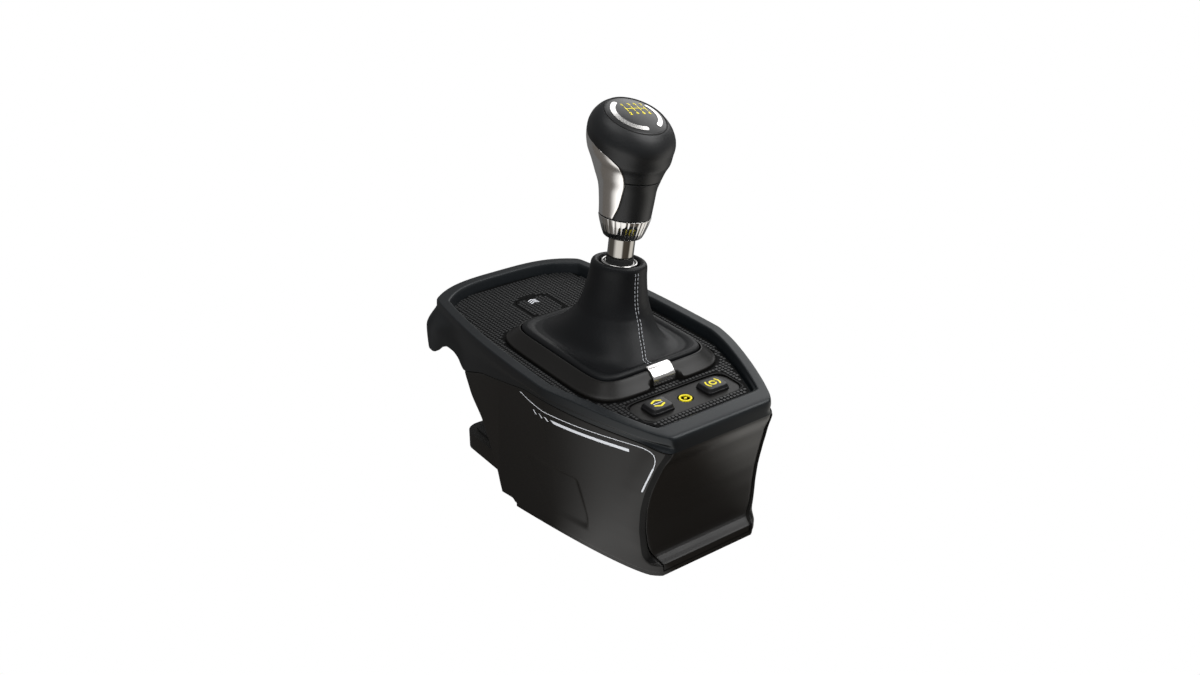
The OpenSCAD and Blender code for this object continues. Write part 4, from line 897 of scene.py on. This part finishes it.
def add_clip():
    """A bent strip: the line of (y, z) and the same line moved along its normal by the thickness, given a
    width in x, with the upper skin lowered a little towards both sides."""
    low = rounded(np.array(CLIP_LINE) + (FRAME_FRONT, 0), 1.3, 6)
    way = unit(np.gradient(low, axis=0))
    high = low + CLIP_THICK * np.stack([-way[:, 1], way[:, 0]], -1)
    inward, drop = np.array([(0, .144), (.25, .036), (.5, 0)]).T
    xs = np.concatenate([inward - CLIP_WIDE / 2, (CLIP_WIDE / 2 - inward)[::-1]])
    drop = np.concatenate([drop, drop[::-1]])[:, None]
    skins = [high[:, None] - (high - low)[:, None] * drop, np.repeat(low[:, None], len(xs), 1)]
    grid = [np.concatenate([np.broadcast_to(xs[:, None], s.shape[:2] + (1,)), s], -1) for s in skins]
    return make_piece("frame_clip", np.stack(grid), shell_faces(len(low), len(xs)), finishes["satin_silver"],
                      "housing", "satin_silver", 35)


boot_frame, clip = add_boot_frame(), add_clip()
print("frame faces", len(boot_frame.data.polygons), "clip faces", len(clip.data.polygons))

# %% [markdown]
# ## Leather boot
# The boot is sewn from one piece of leather: a rolled border tucked into the frame, a shallow dip, then a
# cone that leans with the lever and ends in a thick rolled collar. Its section is a superellipse that turns
# from nearly a rectangle below to a circle above. It is made of two meshes that meet at mid height, because
# the lever swings about two axes. A double row of stitches runs down the side that faces the driver.

# %% Boot
LEAN = math.radians(7.5)
PIVOT = np.array([0, 46.0, 82.0])
BOOT_LOW, BOOT_HIGH, BOOT_SPLIT, LEATHER = 102.0, 148.43, 122.9, 1.1
# Half width, half length, height and exponent of each row
BOOT_ROWS = [(38.0, 45.9, 100.6, 7.5), (38.6, 46.5, 102.0, 7.5), (38.5, 46.4, 103.3, 7.5),
             (37.8, 45.7, 104.4, 7.3), (36.4, 44.4, 104.9, 7.0), (34.6, 42.9, 104.6, 6.3),
             (32.8, 41.8, 104.1, 5.2), (30.6, 40.9, 104.1, 4.2), (28.6, 39.9, 104.6, 3.4),
             (26.9, 38.3, 105.8, 2.9), (25.7, 36.0, 107.7, 2.6), (24.9, 33.2, 110.0, 2.4),
             (24.1, 30.1, 112.7, 2.25), (23.2, 27.2, 115.7, 2.12), (22.2, 24.7, 118.9, 2.05),
             (21.4, 23.0, 121.3, 2), (20.95, 22.2, 122.9, 2), (20.1, 20.7, 126.0, 2),
             (19.2, 19.4, 130.0, 2), (18.4, 18.4, 135.0, 2), (17.7, 17.7, 139.5, 2),
             (17.2, 17.2, 143.6, 2), (17.0, 17.0, 146.6, 2), (16.75, 16.75, 148.3, 2),
             (16.0, 16.0, 149.6, 2), (14.7, 14.7, 150.2, 2), (13.3, 13.3, 149.9, 2),
             (12.3, 12.3, 148.6, 2), (11.7, 11.7, 146.2, 2), (11.4, 11.4, 143.0, 2)]


def boot_points(rows, angle):
    """Points of the boot: superellipses about a centre that moves to the lever's line, tilted with it."""
    half, deep, height, power = np.moveaxis(rows, -1, 0)
    v = (height - BOOT_LOW) / (BOOT_HIGH - BOOT_LOW)
    tilt = LEAN * ease(1.2 * v)
    x, y = super_point(half, deep, power, angle)
    over = (height - PIVOT[2]) * math.tan(LEAN) * ease(2.2 * v)
    return np.stack([over + x * np.cos(tilt), FRAME_Y + 2 * ease(2 * v) + y, height - x * np.sin(tilt)], -1)


def grid_area(points, faces):
    """Area in mm2 of the quads, each as half the cross product of its diagonals."""
    a, b, c, d = np.moveaxis(points.reshape(-1, 3)[faces], 1, 0)
    return .5 * np.linalg.norm(np.cross(c - a, d - b), axis=1).sum()


def bend_lower(piece):
    """Below the split, a piece only has its place baked into its mesh."""
    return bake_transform(piece)


def bend_upper(piece):
    """Above the split, a piece only has its place baked into its mesh."""
    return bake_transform(piece)


def add_boot(name, rows, bend):
    """The rows as a band with an inner band a leather's thickness inside, closed at both borders. The sheet's
    area is the outer band's, and its length is the longest way round."""
    outer = boot_points(rows[:, None], circle(288) - np.pi / 2)
    around = np.roll(outer, -1, 1) - np.roll(outer, 1, 1)
    normal = unit(np.cross(around, np.gradient(outer, axis=0)))
    grid = np.concatenate([outer, (outer - LEATHER * normal)[::-1]])
    piece = make_piece(name, grid, band_faces(grid), finishes["leatherette"], bend, "leatherette", 60)
    flat_area = grid_area(outer, grid_faces(*outer.shape[:2], wrap_cols=True)) * MM * MM
    around_len = np.linalg.norm(np.diff(outer, axis=1), axis=-1).sum(1).max() * MM
    return piece, flat_area, around_len


boot_rows = spread(BOOT_ROWS, 5)
split = int(np.argmin(np.abs(boot_rows[:, 2] - BOOT_SPLIT)))
boot_parts = [add_boot("boot_lower", boot_rows[:split + 1], bend_lower),
              add_boot("boot_upper", boot_rows[split:], bend_upper)]
print("boot rows", len(boot_rows), "split at row", split)

# %% Stitches and seam
COLLAR_ROWS = 30
STITCH_STEP, STITCH_SIDE, STITCH_LIFT, SEAM_STEP, SEAM_RADIUS = 2.5, 1.0, .12, 1.2, .32
# How far the seam wanders round from the front, in degrees, against the height
SEAM_TURN = [(104, -6), (112, -1), (120, 1.5), (150, 1)]
thread = finish_of("pale_thread", (.34, .35, .37), .6, grain_scale=3000, bump=.2, tone=.1)


def stitch_mesh(centres, along, out, long=.95, wide=.24, rings=7, count=8):
    """Each stitch is a half sunk spindle: rings along its line of radius wide * sqrt(1 - u^2)."""
    u = np.sin(np.linspace(-np.pi / 2, np.pi / 2, rings))
    place = centres[:, None] + (u * long)[:, None] * along[:, None]
    radius = np.sqrt(np.clip(1 - u ** 2, .02, 1)) * wide
    points = tube_points(place, np.cross(along, out)[:, None], out[:, None], radius[:, None, None], count)
    first = rings * count * np.arange(len(centres))[:, None]
    faces = (grid_faces(rings, count, wrap_cols=True) + first[:, :, None]).reshape(-1, 4)
    ring = np.arange(count)
    return points, [faces, np.concatenate([first + ring[::-1], first + (rings - 1) * count + ring])]


def seam_line(sideways, low, high, step):
    """Places down the boot's driver side at even lengths, a set way to the side of the seam, each with its
    direction along the seam and its direction out of the leather."""
    rows = boot_rows[:-COLLAR_ROWS]
    rows = rows[(rows[:, 2] > low) & (rows[:, 2] < high)]
    turn = np.radians(-90 + curve(SEAM_TURN, rows[:, 2])) + sideways / rows[:, 1]
    p, beside = boot_points(rows, turn), boot_points(rows, turn + .02)
    length = lengths(p)
    at = np.arange(step / 2, length[-1], step)
    place, along, across = (np.stack([np.interp(at, length, k) for k in values.T], -1)
                            for values in (p, np.gradient(p, length, axis=0), beside - p))
    along = unit(along)
    return place, along, unit(np.cross(across, along))


def add_stitches(name, low, high, bend):
    """Two rows of stitches beside the seam between two heights, handed the same function as the leather below
    them.
    """
    both = [seam_line(side, low, high, STITCH_STEP) for side in (-STITCH_SIDE, STITCH_SIDE)]
    place, along, out = (np.concatenate(k) for k in zip(*both))
    return make_piece(name, *stitch_mesh(place + STITCH_LIFT * out, along, out), thread, bend)


def add_seam(name, low, high, bend):
    """The seam between the rows of stitches, near black as painted shade in its crease: a thin tube half sunk
    in the leather.
    """
    place, along, out = seam_line(0, low, high, SEAM_STEP)
    tube = tube_points(place, np.cross(along, out), out, SEAM_RADIUS)
    return make_piece(name, tube, tube_faces(tube), painted_gap_shade, bend)


lower_sewing = [add_stitches("stitches_lower", 104.6, 122.9, bend_lower),
                add_seam("seam_lower", 104.4, 123.2, bend_lower)]
upper_sewing = [add_stitches("stitches_upper", 122.9, 148.0, bend_upper),
                add_seam("seam_upper", 122.9, 148.2, bend_upper)]
for (piece, flat_area, around_len), sewing in zip(boot_parts, (lower_sewing, upper_sewing)):
    print(piece.name, "leather", round(flat_area * 1e4, 1), "cm2")

# %% [markdown]
# ## Lever and knob
# Shaft, rings and collar are turned pieces: a profile of (radius, place along the shaft) carried round the
# axis and leaned with the lever. The collar is fluted, so its radius ripples with the angle. The knob is a
# stack of circles that grow, drift and tip towards the driver, and every circle is divided at the edges of
# the two metal inlays, so that the mesh lines follow those edges and the gap beside them is crisp.


# %% Turned pieces
def on_lever(points):
    """From the lever's own frame, with its pivot at the origin and the shaft along z, to the row frame."""
    x, y, s = np.moveaxis(np.asarray(points, float), -1, 0)
    c, d = math.cos(LEAN), math.sin(LEAN)
    return np.stack([x * c + s * d, y, s * c - x * d], -1) + PIVOT


def add_ring(name, profile, finish, corner, slot, flutes=0, depth=0., turns=128):
    """A closed profile of (radius, place) turned round the lever. Flutes take depth * (1 - |sin|)^2 of the
    angle off its outer radius."""
    p = rounded([*profile, profile[0], profile[1]], corner)[1:-1]
    grid = lathe_points(p, turns)
    if flutes:
        widest = p[:, :1].max()
        wave = (1 - np.abs(np.sin(circle(turns) * flutes / 2))) ** 2
        grid[..., :2] *= (1 - depth / widest * wave * (p[:, :1] > widest * .62))[..., None]
    return make_piece(name, on_lever(grid), band_faces(grid), finish, "lever", slot)


def sleeve(inner, outer, low, high):
    """The profile of a plain sleeve."""
    return [(inner, low), (outer, low), (outer, high), (inner, high)]


RING_PROFILE = [(9.5, 58), (11, 58), (11, 67.9), (10.6, 68.3), (9.9, 68.3), (9.5, 67.9)]
COLLAR_PROFILE = [(8.05, 83.6), (10.4, 83.6), (11.7, 84.6), (13.0, 87.6), (14.7, 92.6), (15.7, 96.5),
                  (8.05, 96.5)]
chrome, rubber = finishes["bright"], finishes["rubber"]
turned = [
    add_ring("lever_shaft", sleeve(6.1, 7.9, 71.4, 90), shaded_shaft_chrome, .4, "bright"),
    add_ring("shaft_sleeve", sleeve(6.1, 8.2, -1, 71.2), rubber, .6, "black_plastic"),
    add_ring("boot_ring", RING_PROFILE, chrome, .3, "bright"),
    add_ring("ring_seal", sleeve(8.25, 9.48, 58, 66.6), rubber, .2, "rubber"),
    add_ring("ring_trim", sleeve(8.25, 8.9, 66.4, 67.8), chrome, .2, "bright"),
    add_ring("knob_collar", COLLAR_PROFILE, chrome, .45, "bright", flutes=24, depth=.28, turns=24 * 14),
]
print("turned pieces", [p.name for p in turned])

# %% Shape of the knob
KNOB_S, KNOB_H, KNOB_SPLIT, INLAY_TOP = 96.6, 59.0, 24.5, 46.61
NECK_R, HEAD_R, BADGE_TILT = 15.6, 26.35, math.radians(20)
# How far the circles drift back and sink as they tip, and how far the crown comes forward again and rises
DRIFT, TIP_DROP, CROWN_BACK, CROWN_UP = 3.2, 2, 2.6, 1.3
# Radius against the share of the knob's height
KNOB_R = [(0, 15.4), (.138, 16.1), (.288, 17.1), (.414, 19.5), (.534, mix(NECK_R, HEAD_R, .6)),
          (.655, mix(NECK_R, HEAD_R, .88)), (.76, 26.05), (.82, HEAD_R), (.88, HEAD_R - .8),
          (.93, HEAD_R - 2.6), (.974, HEAD_R - 5.0), (1, HEAD_R - 7.2)]
# An inlay's edges in degrees from the x axis, against the share of its height
INLAY_NEAR = [(0, 24), (.18, 37), (.35, 43.5), (.488, 47), (.615, 46.5), (.71, 44), (.815, 40),
              (.86, 34.5), (.9, 27.5), (.925, 18), (.946, 8), (.962, -6), (.973, -17), (.987, -30),
              (1, -40)]
INLAY_FAR = [(0, -30), (.2, -40), (.42, -48), (.63, -54), (.8, -56), (.9, -54), (.95, -50), (1, -44)]


def knob_radius(h):
    """A smooth curve through the table, averaged over a short way so that its bends have no corners."""
    part = np.asarray(h, float) / KNOB_H
    room = np.minimum(1, np.minimum(part, 1 - part) / .02)
    return np.mean([curve(KNOB_R, part + way * room) for way in (-.02, -.01, 0, .01, .02)], axis=0)


def knob_point(h, turn, inset=0.):
    """A circle of the knob at height h, moved back and tipped about x more and more towards the top."""
    part = h / KNOB_H
    k = ease((part - .2) / .78)
    crown = ease((part - .7) / .3)
    r = knob_radius(h) - inset
    back = DRIFT * ease((part - .1) / .7) - CROWN_BACK * crown
    up = KNOB_S + h + r * np.sin(turn) * np.sin(BADGE_TILT * k) - TIP_DROP * k + CROWN_UP * crown
    return np.stack([r * np.cos(turn), back + r * np.sin(turn) * np.cos(BADGE_TILT * k), up], -1)


def inlay_edges(h):
    """The angles in radians of an inlay's near and far edges at height h, measured from the x axis."""
    part = np.clip(h / INLAY_TOP, 0, 1)
    return np.radians(curve(INLAY_NEAR, part)), np.radians(curve(INLAY_FAR, part))


print("knob radii", np.round(knob_radius(np.array([0, KNOB_SPLIT, KNOB_H])), 1))

# %% Grip and base
GAP, POCKET, KNOB_ROLL, GRIP_WALL = .32, 1.5, .6, 4.0
OPEN_COLS, SUNK_COLS, INNER_ROWS = 44, 30, 12


def knob_skin(name, low, high, slot):
    """Columns run round the driver's side, the right inlay, the back and the left inlay. The skin is sunk by
    a pocket under the inlays, drawn in a little beside them and rolled at both ends."""
    ends = np.array([0, .06, .2, .45, .75, 1]) * KNOB_ROLL
    between = np.linspace(low + ends[-1], high - ends[-1], int((high - low) * 2.2))
    h = np.concatenate([low + ends[:-1], between, high - ends[-2::-1]])
    near, far = (e[:, None] for e in inlay_edges(h))
    small = (GAP / knob_radius(h))[:, None]
    full = 2 * np.pi
    stops = [np.pi + near, full - near, full - far, full + np.pi + far, full + np.pi + near]
    below_top = np.where(h < INLAY_TOP, 1.0, 0.0)[:, None]
    turn, inset = [], []
    for k, (start, end) in enumerate(zip(stops[:-1], stops[1:])):
        if k % 2:
            turn.append(mix(start, end, np.linspace(0, 1, SUNK_COLS)))
            inset.append(POCKET * below_top + np.zeros(SUNK_COLS))
        else:
            inside = mix(start + 2 * small, end - 2 * small, np.linspace(0, 1, OPEN_COLS))
            turn.append(np.hstack([start, start + small, inside, end - small, end]))
            inset.append(below_top * np.array([.35, .08, *[0] * OPEN_COLS, .08, .35]))
    turn, inset = np.hstack(turn), np.hstack(inset)
    roll = rolled((h - low) / (high - low), high - low, KNOB_ROLL)[:, None]
    outer = knob_point(h[:, None] + 0 * turn, turn, np.maximum(inset, roll))
    inner_h = np.linspace(high - .1, low + .1, INNER_ROWS)[:, None] + 0 * turn[:INNER_ROWS]
    inner = knob_point(inner_h, np.broadcast_to(turn[len(h) // 2], inner_h.shape), GRIP_WALL)
    grid = np.concatenate([outer, inner])
    return make_piece(name, on_lever(grid), band_faces(grid), finishes["soft_grip"], "lever", slot, 45)


base = knob_skin("knob_base", .05, KNOB_SPLIT - .12, "black_plastic")
grip = knob_skin("knob_grip", KNOB_SPLIT + .12, KNOB_H, "soft_grip")
print("base faces", len(base.data.polygons), "grip faces", len(grip.data.polygons))

# %% Inlays
INLAY_FOOT, INLAY_HEAD, BEVEL, BEVEL_WIDE = .3, INLAY_TOP - .2, .45, .5


def add_inlay(name, sign):
    """The knob's own surface between the inlay's edges, a gap inside them, with a bevel round its border that
    falls as (1 - distance)^1.5; mirrored for the left."""
    h = INLAY_FOOT + (INLAY_HEAD - INLAY_FOOT) * edge_steps(90, INLAY_TOP, .6)
    near, far = inlay_edges(h)
    gap = GAP / knob_radius(h)
    u = edge_steps(26, 30, .55)[None, :]
    wide = np.maximum(near - far - 2 * gap, .004)[:, None]
    turn = (gap - near)[:, None] + u * wide
    mm_in = np.minimum(u, 1 - u) * wide * knob_radius(h)[:, None]
    edge = np.minimum(mm_in, np.minimum(h - INLAY_FOOT, INLAY_HEAD - h)[:, None] * .8)
    bevel = BEVEL * (1 - np.clip(edge / BEVEL_WIDE, 0, 1)) ** 1.5
    rows = h[:, None] + 0 * turn
    grid = np.stack([knob_point(rows, turn, bevel - .06), knob_point(rows, turn, POCKET - .2)]) * (sign, 1, 1)
    return make_piece(name, on_lever(grid), turned_over(shell_faces(*turn.shape), sign),
                      finishes["satin_silver"], "lever", "satin_silver", 30)


inlays = [add_inlay("knob_inlay_right", 1), add_inlay("knob_inlay_left", -1)]
print("inlay faces", [len(i.data.polygons) for i in inlays])

# %% Badge
BADGE_R, BADGE_SINK, BADGE_DOME = 18.6, .1, 2.5
badge_centre = np.array([0, DRIFT - CROWN_BACK, KNOB_S + KNOB_H - TIP_DROP + CROWN_UP])


def on_badge(x, y, lift=0.):
    """A place (x, y) on the badge, whose dome is 2.5 * (1 - (r / R)^2) high, tipped with the knob's top."""
    x, y = np.broadcast_arrays(np.asarray(x, float), np.asarray(y, float))
    z = BADGE_DOME * (1 - (x * x + y * y) / BADGE_R ** 2) - BADGE_SINK + lift
    c, s = math.cos(BADGE_TILT), math.sin(BADGE_TILT)
    return on_lever(np.stack([x, y * c - z * s, y * s + z * c], -1) + badge_centre)


def add_badge():
    """A dome of rings with a rolled border that goes down inside the grip, closed below by a disc."""
    border = BADGE_R - np.array([.3, .15, .05, 0, 0])
    r = np.concatenate([[.02], np.linspace(.6, BADGE_R - .5, 24), border, [2.0]])[:, None]
    lift = np.concatenate([np.zeros(25), [-.04, -.12, -.25, -.4, -2.6, -4.9]])[:, None]
    a = circle(128)
    grid = on_badge(r * np.cos(a), r * np.sin(a), lift)[::-1]
    return make_piece("knob_badge", grid, tube_faces(grid), badge_gloss, "lever", "black_plastic")


def add_badge_gap(thick=.42):
    """A thin ring of painted shade that fills the groove round the badge: a small circle carried round its
    border.
    """
    a, q = circle(160)[None, :], circle(10)[:, None]
    r = BADGE_R + .28 + thick * np.cos(q)
    grid = on_badge(r * np.cos(a), r * np.sin(a), .05 + thick * np.sin(q) + 0 * a)
    return make_piece("badge_gap", grid, turned_over(band_faces(grid), -1), painted_gap_shade, "lever")


badge, badge_gap = add_badge(), add_badge_gap()
print("badge faces", len(badge.data.polygons), "gap faces", len(badge_gap.data.polygons))

# %% Strokes
END_POINTS = 5


def stroke_outline(path, wide):
    """The outline of a stroke round a path of (x, y): both sides half a width away, with round ends."""
    way = unit(np.gradient(path, axis=0)) * wide / 2
    side = np.stack([-way[:, 1], way[:, 0]], -1)
    a = np.linspace(0, np.pi, END_POINTS + 2)[1:-1, None]
    head = path[-1] - side[-1] * np.cos(a) + way[-1] * np.sin(a)
    tail = path[0] + side[0] * np.cos(a) - way[0] * np.sin(a)
    return np.concatenate([path - side, head, (path + side)[::-1], tail])


def add_marks(name, paths, wide, finish, put, lift, sink, body, slot=None):
    """Raised strokes as one mesh. Each outline is put on its surface by put(x, y, lift) and again sunk below
    it; strips and two ends fill both, and a wall joins them."""
    points, faces, start = [], [], 0
    for path in paths:
        ring = stroke_outline(path, wide)
        n, count = len(path), len(ring)
        points += [put(*ring.T, lift), put(*ring.T, -sink)]
        i = start + np.arange(count)
        j = np.roll(i, -1)
        right, left = i[:n], i[n + END_POINTS:2 * n + END_POINTS][::-1]
        top = np.stack([right[:-1], right[1:], left[1:], left[:-1]], -1)
        head = i[None, n - 1:n + END_POINTS + 1]
        tail = np.append(i[2 * n + END_POINTS - 1:], start)[None]
        faces += [np.stack([j + count, i + count, i, j], -1), top, top[:, ::-1] + count, head, tail,
                  head[:, ::-1] + count, tail[:, ::-1] + count]
        start += 2 * count
    return make_piece(name, np.concatenate(points), faces, finish, body, slot, 30)


def arc_path(radius, start, end, count=40, centre=(0, 0)):
    """Points at even angles on an arc about a centre, from start to end in degrees."""
    a = np.radians(np.linspace(start, end, count))
    return np.stack([centre[0] + radius * np.cos(a), centre[1] + radius * np.sin(a)], -1)


def line(*corners):
    """A path through corner points with a few places on every straight, close to the corners."""
    c = np.array(corners, float)
    u = np.array([0, .08, .5, .92])
    return np.concatenate([*(mix(a, b, u[:, None]) for a, b in zip(c[:-1], c[1:])), c[-1:]])


arcs = add_marks("badge_arcs", [arc_path(14.2, 124, 261), arc_path(14.2, -54, 30)], 2.9,
                 finishes["satin_silver"], on_badge, .25, .3, "lever", "satin_silver")
print("arc faces", len(arcs.data.polygons))

# %% Gear pattern
DIGITS = {
    "1": [line((-.3, .6), (.1, 1), (.1, -1))],
    "2": [np.concatenate([arc_path(.55, 160, -40, 12, (0, .45)), line((-.55, -1), (.6, -1))])],
    "3": [np.concatenate([arc_path(.5, 150, -80, 10, (0, .5)), arc_path(.55, 80, -150, 10, (0, -.45))])],
    "4": [line((.6, -.4), (-.6, -.4), (.25, 1), (.25, -1))],
    "5": [np.concatenate([line((.55, 1), (-.45, 1), (-.5, .15)), arc_path(.6, 110, -150, 14, (0, -.4))])],
    "6": [np.concatenate([arc_path(1.3, 120, 180, 8, (.75, -.2)), arc_path(.55, 180, 530, 18, (0, -.42))])],
    "7": [line((-.6, 1), (.6, 1), (-.15, -1))],
    "8": [arc_path(.45, -90, 270, 18, (0, .52)), arc_path(.55, 90, 450, 18, (0, -.45))],
}
LANES = np.array([-5.0, -.4, 4.2, 8.8])
MID_Y, REACH_Y, DIGIT_Y, DIGIT_SIZE = 4.0, 2.3, 4.7, 1.05
pattern = [line((LANES[0], MID_Y), (LANES[-1], MID_Y))]
pattern += [line((x, MID_Y - REACH_Y), (x, MID_Y + REACH_Y)) for x in LANES]
for k, x in enumerate(LANES):
    for digit, y in ((2 * k + 1, MID_Y + DIGIT_Y), (2 * k + 2, MID_Y - DIGIT_Y)):
        pattern += [stroke * DIGIT_SIZE + (x, y) for stroke in DIGITS[str(digit)]]
gear_marks = add_marks("gear_pattern", pattern, .55, finishes["lens"], on_badge, .08, .2, "lever", "lens")
print(gear_marks.name, "strokes", len(pattern))

# %% [markdown]
# ## Keys and printed marks
# The two keys are rounded pyramids, again rows of superellipses closed by a flat top. What was lettering on
# the real part is left out, and plain marks stand in its place: arrows on the left key, a ring between
# two arcs on the right one, a yellow ring between the keys and arrows on the release tab. The marks and the
# racing stripe on each flank are strokes laid on their surface, as pad printing would lay them.

# %% Keys
KEY_X, KEY_TOP = 20.0, DECK + 2.6
# Half width, half length, exponent and height of each row
KEY_ROWS = [(7.75, 6.5, 7, 93.0), (7.75, 6.5, 7, 94.9), (7.55, 6.3, 7, 95.2), (6.95, 5.7, 7, 96.7),
            (6.75, 5.5, 7, 97.0), (6.4, 5.15, 7, KEY_TOP)]


def add_key(name, x):
    """The rows joined by smooth curves from the key's foot in the panel to its flat top."""
    rows = spread(KEY_ROWS, 5)
    px, py = super_loop(*rows.T[:3], 96)
    grid = np.stack([x + px, PANEL_Y + py, np.broadcast_to(rows[:, 3:], px.shape)], -1)
    return make_piece(name, grid, tube_faces(grid), finishes["key_plastic"], name, "key_plastic")


keys = [add_key("left_key", -KEY_X), add_key("right_key", KEY_X)]
print("key faces", [len(k.data.polygons) for k in keys])

# %% Spring under the release tab
SPRING_Y, SPRING_LOW, SPRING_TURNS, SPRING_PITCH = TAB_Y + 6, 81.44, 6, 1.42


def bend_spring(piece):
    """The spring sits between the housing and the tab; the piece only has its place baked into its mesh."""
    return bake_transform(piece)


def add_spring(radius=3.6, thick=.45):
    """A tube along a helix, which rises by the pitch in every turn."""
    a = np.linspace(0, 2 * np.pi * SPRING_TURNS, 24 * SPRING_TURNS + 1)
    out = np.stack([np.cos(a), np.sin(a), 0 * a], -1)
    up = np.broadcast_to((0., 0., 1.), out.shape)
    rise = SPRING_PITCH * a / (2 * np.pi)
    place = radius * out + np.stack([0 * a, 0 * a + SPRING_Y, SPRING_LOW + rise], -1)
    tube = tube_points(place, out, up, thick)
    return make_piece("tab_spring", tube, tube_faces(tube), finishes["steel"], bend_spring, "steel")


print("spring faces", len(add_spring().data.polygons))


# %% Marks on the keys, the panel and the tab
def flat_at(height):
    """A function that puts (x, y) at a height, for marks on level faces."""
    return lambda x, y, lift: np.stack([x, y, np.full_like(x, height + lift)], -1)


yellow, on_key = finishes["lens"], flat_at(KEY_TOP)
arrow = line((-3.1, -.8), (0, .8), (3.1, -.8))
ring_mark, side_arc = arc_path(1.9, 0, 357, 30), arc_path(4.3, 142, 218, 16)
lens_paths = [arc_path(3.3, 0, 357, 48), line((-.5, 0), (.5, 0))]
left, right, middle_of_panel = (-KEY_X, PANEL_Y), (KEY_X, PANEL_Y), (0, PANEL_Y)
marks = [
    add_marks("left_key_mark", [arrow + (0, 2.5) + left, arrow * (1, -1) - (0, 2.5) + left], 1.25, yellow,
              on_key, .06, .1, "left_key", "lens"),
    add_marks("left_key_line", [line((-3.2, 0), (3.2, 0)) + left], .35, white_print, on_key, .06, .1,
              "left_key"),
    add_marks("right_key_mark", [k + right for k in (ring_mark, side_arc, side_arc * (-1, 1))], 1.0, yellow,
              on_key, .06, .1, "right_key", "lens"),
    add_marks("indicator_lens", [k + middle_of_panel for k in lens_paths], 1.0, yellow, flat_at(DECK - .8),
              .25, .5, "housing", "lens"),
    add_marks("tab_mark", [arrow * .9 + (0, TAB_MARK_Y + k) for k in (-1.9, .1, 2.1)], .7, white_print,
              flat_at(DECK), .12, .2, "release_tab"),
]
print("marks", [m.name for m in marks])


# %% Racing stripe
def on_flank(sign):
    """A function that puts (a, z) on a flank, where a is the distance back from the front lip."""
    return lambda a, z, lift: np.stack([sign * (side_half(a, z) + lift), FRONT_Y + a, z], -1)


def even_path(points, step=1.5):
    """A smooth path through the points at even lengths."""
    path = np.array(points, float)
    length = lengths(path)
    return through(length, path, np.linspace(0, length[-1], max(4, int(length[-1] / step))))


def slanted(start, end, z, half, slant):
    """A bar from start to end at height z; slant is how far its two ends lean."""
    t = np.linspace(start, end, max(3, int(abs(end - start) / 1.5)))
    return np.stack([t, np.full_like(t, z)], -1), half, np.linspace(*slant, len(t))


def add_bars(name, bars, sign):
    """Each bar is a grid two points high with leaning ends, lifted off the flank, over a grid sunk in it."""
    put = on_flank(sign)
    points, faces, start = [], [], 0
    v = np.array([-1, 1])[:, None]
    for path, half, slant in bars:
        a, z = path[:, 0] - slant * v, path[:, 1] + half * v
        points += [put(a, z, lift).reshape(-1, 3) for lift in (.07, -.12)]
        outward = (path[-1, 0] > path[0, 0]) == (sign > 0)
        faces += turned_over(shell_faces(2, len(path), start), 1 if outward else -1)
        start += 4 * len(path)
    return make_piece(name, np.concatenate(points), faces, white_print, "housing", crease=30)


# Places of (distance back, height) along the thin line and along its end
THIN = [(104.2, 87.2), (98, 86.0), (92.1, 85.2), (86, 84.8), (79.0, 84.6), (59.3, 84.5), (41.9, 84.6),
        (25.9, 84.7), (18, 84.8), (13.5, 84.5), (10.6, 83.6), (9.1, 81.8), (8.7, 79.6), (9.1, 76.6),
        (9.8, 74)]
LAST = [(9.8, 74.2), (12.1, 67.8), (15.9, 57.5)]
BARS = [slanted(74.6, 24.8, 80.4, .9, (-1.2, 0)),
        *(slanted(t + .55, t - .55, 80.3, 1.0, (-1.2, -1.2)) for t in (89.9, 84.2, 79))]
for side, sign in (("left", -1), ("right", 1)):
    for name, path, wide, lift in (("line", THIN, .38, .07), ("end", LAST, .85, .08)):
        add_marks(f"{side}_stripe_{name}", [even_path(path)[::sign]], wide, white_print, on_flank(sign),
                  lift, .12, "housing")
    add_bars(f"{side}_stripe_bars", BARS, sign)
print("stripes on both flanks, with", len(BARS), "bars each")
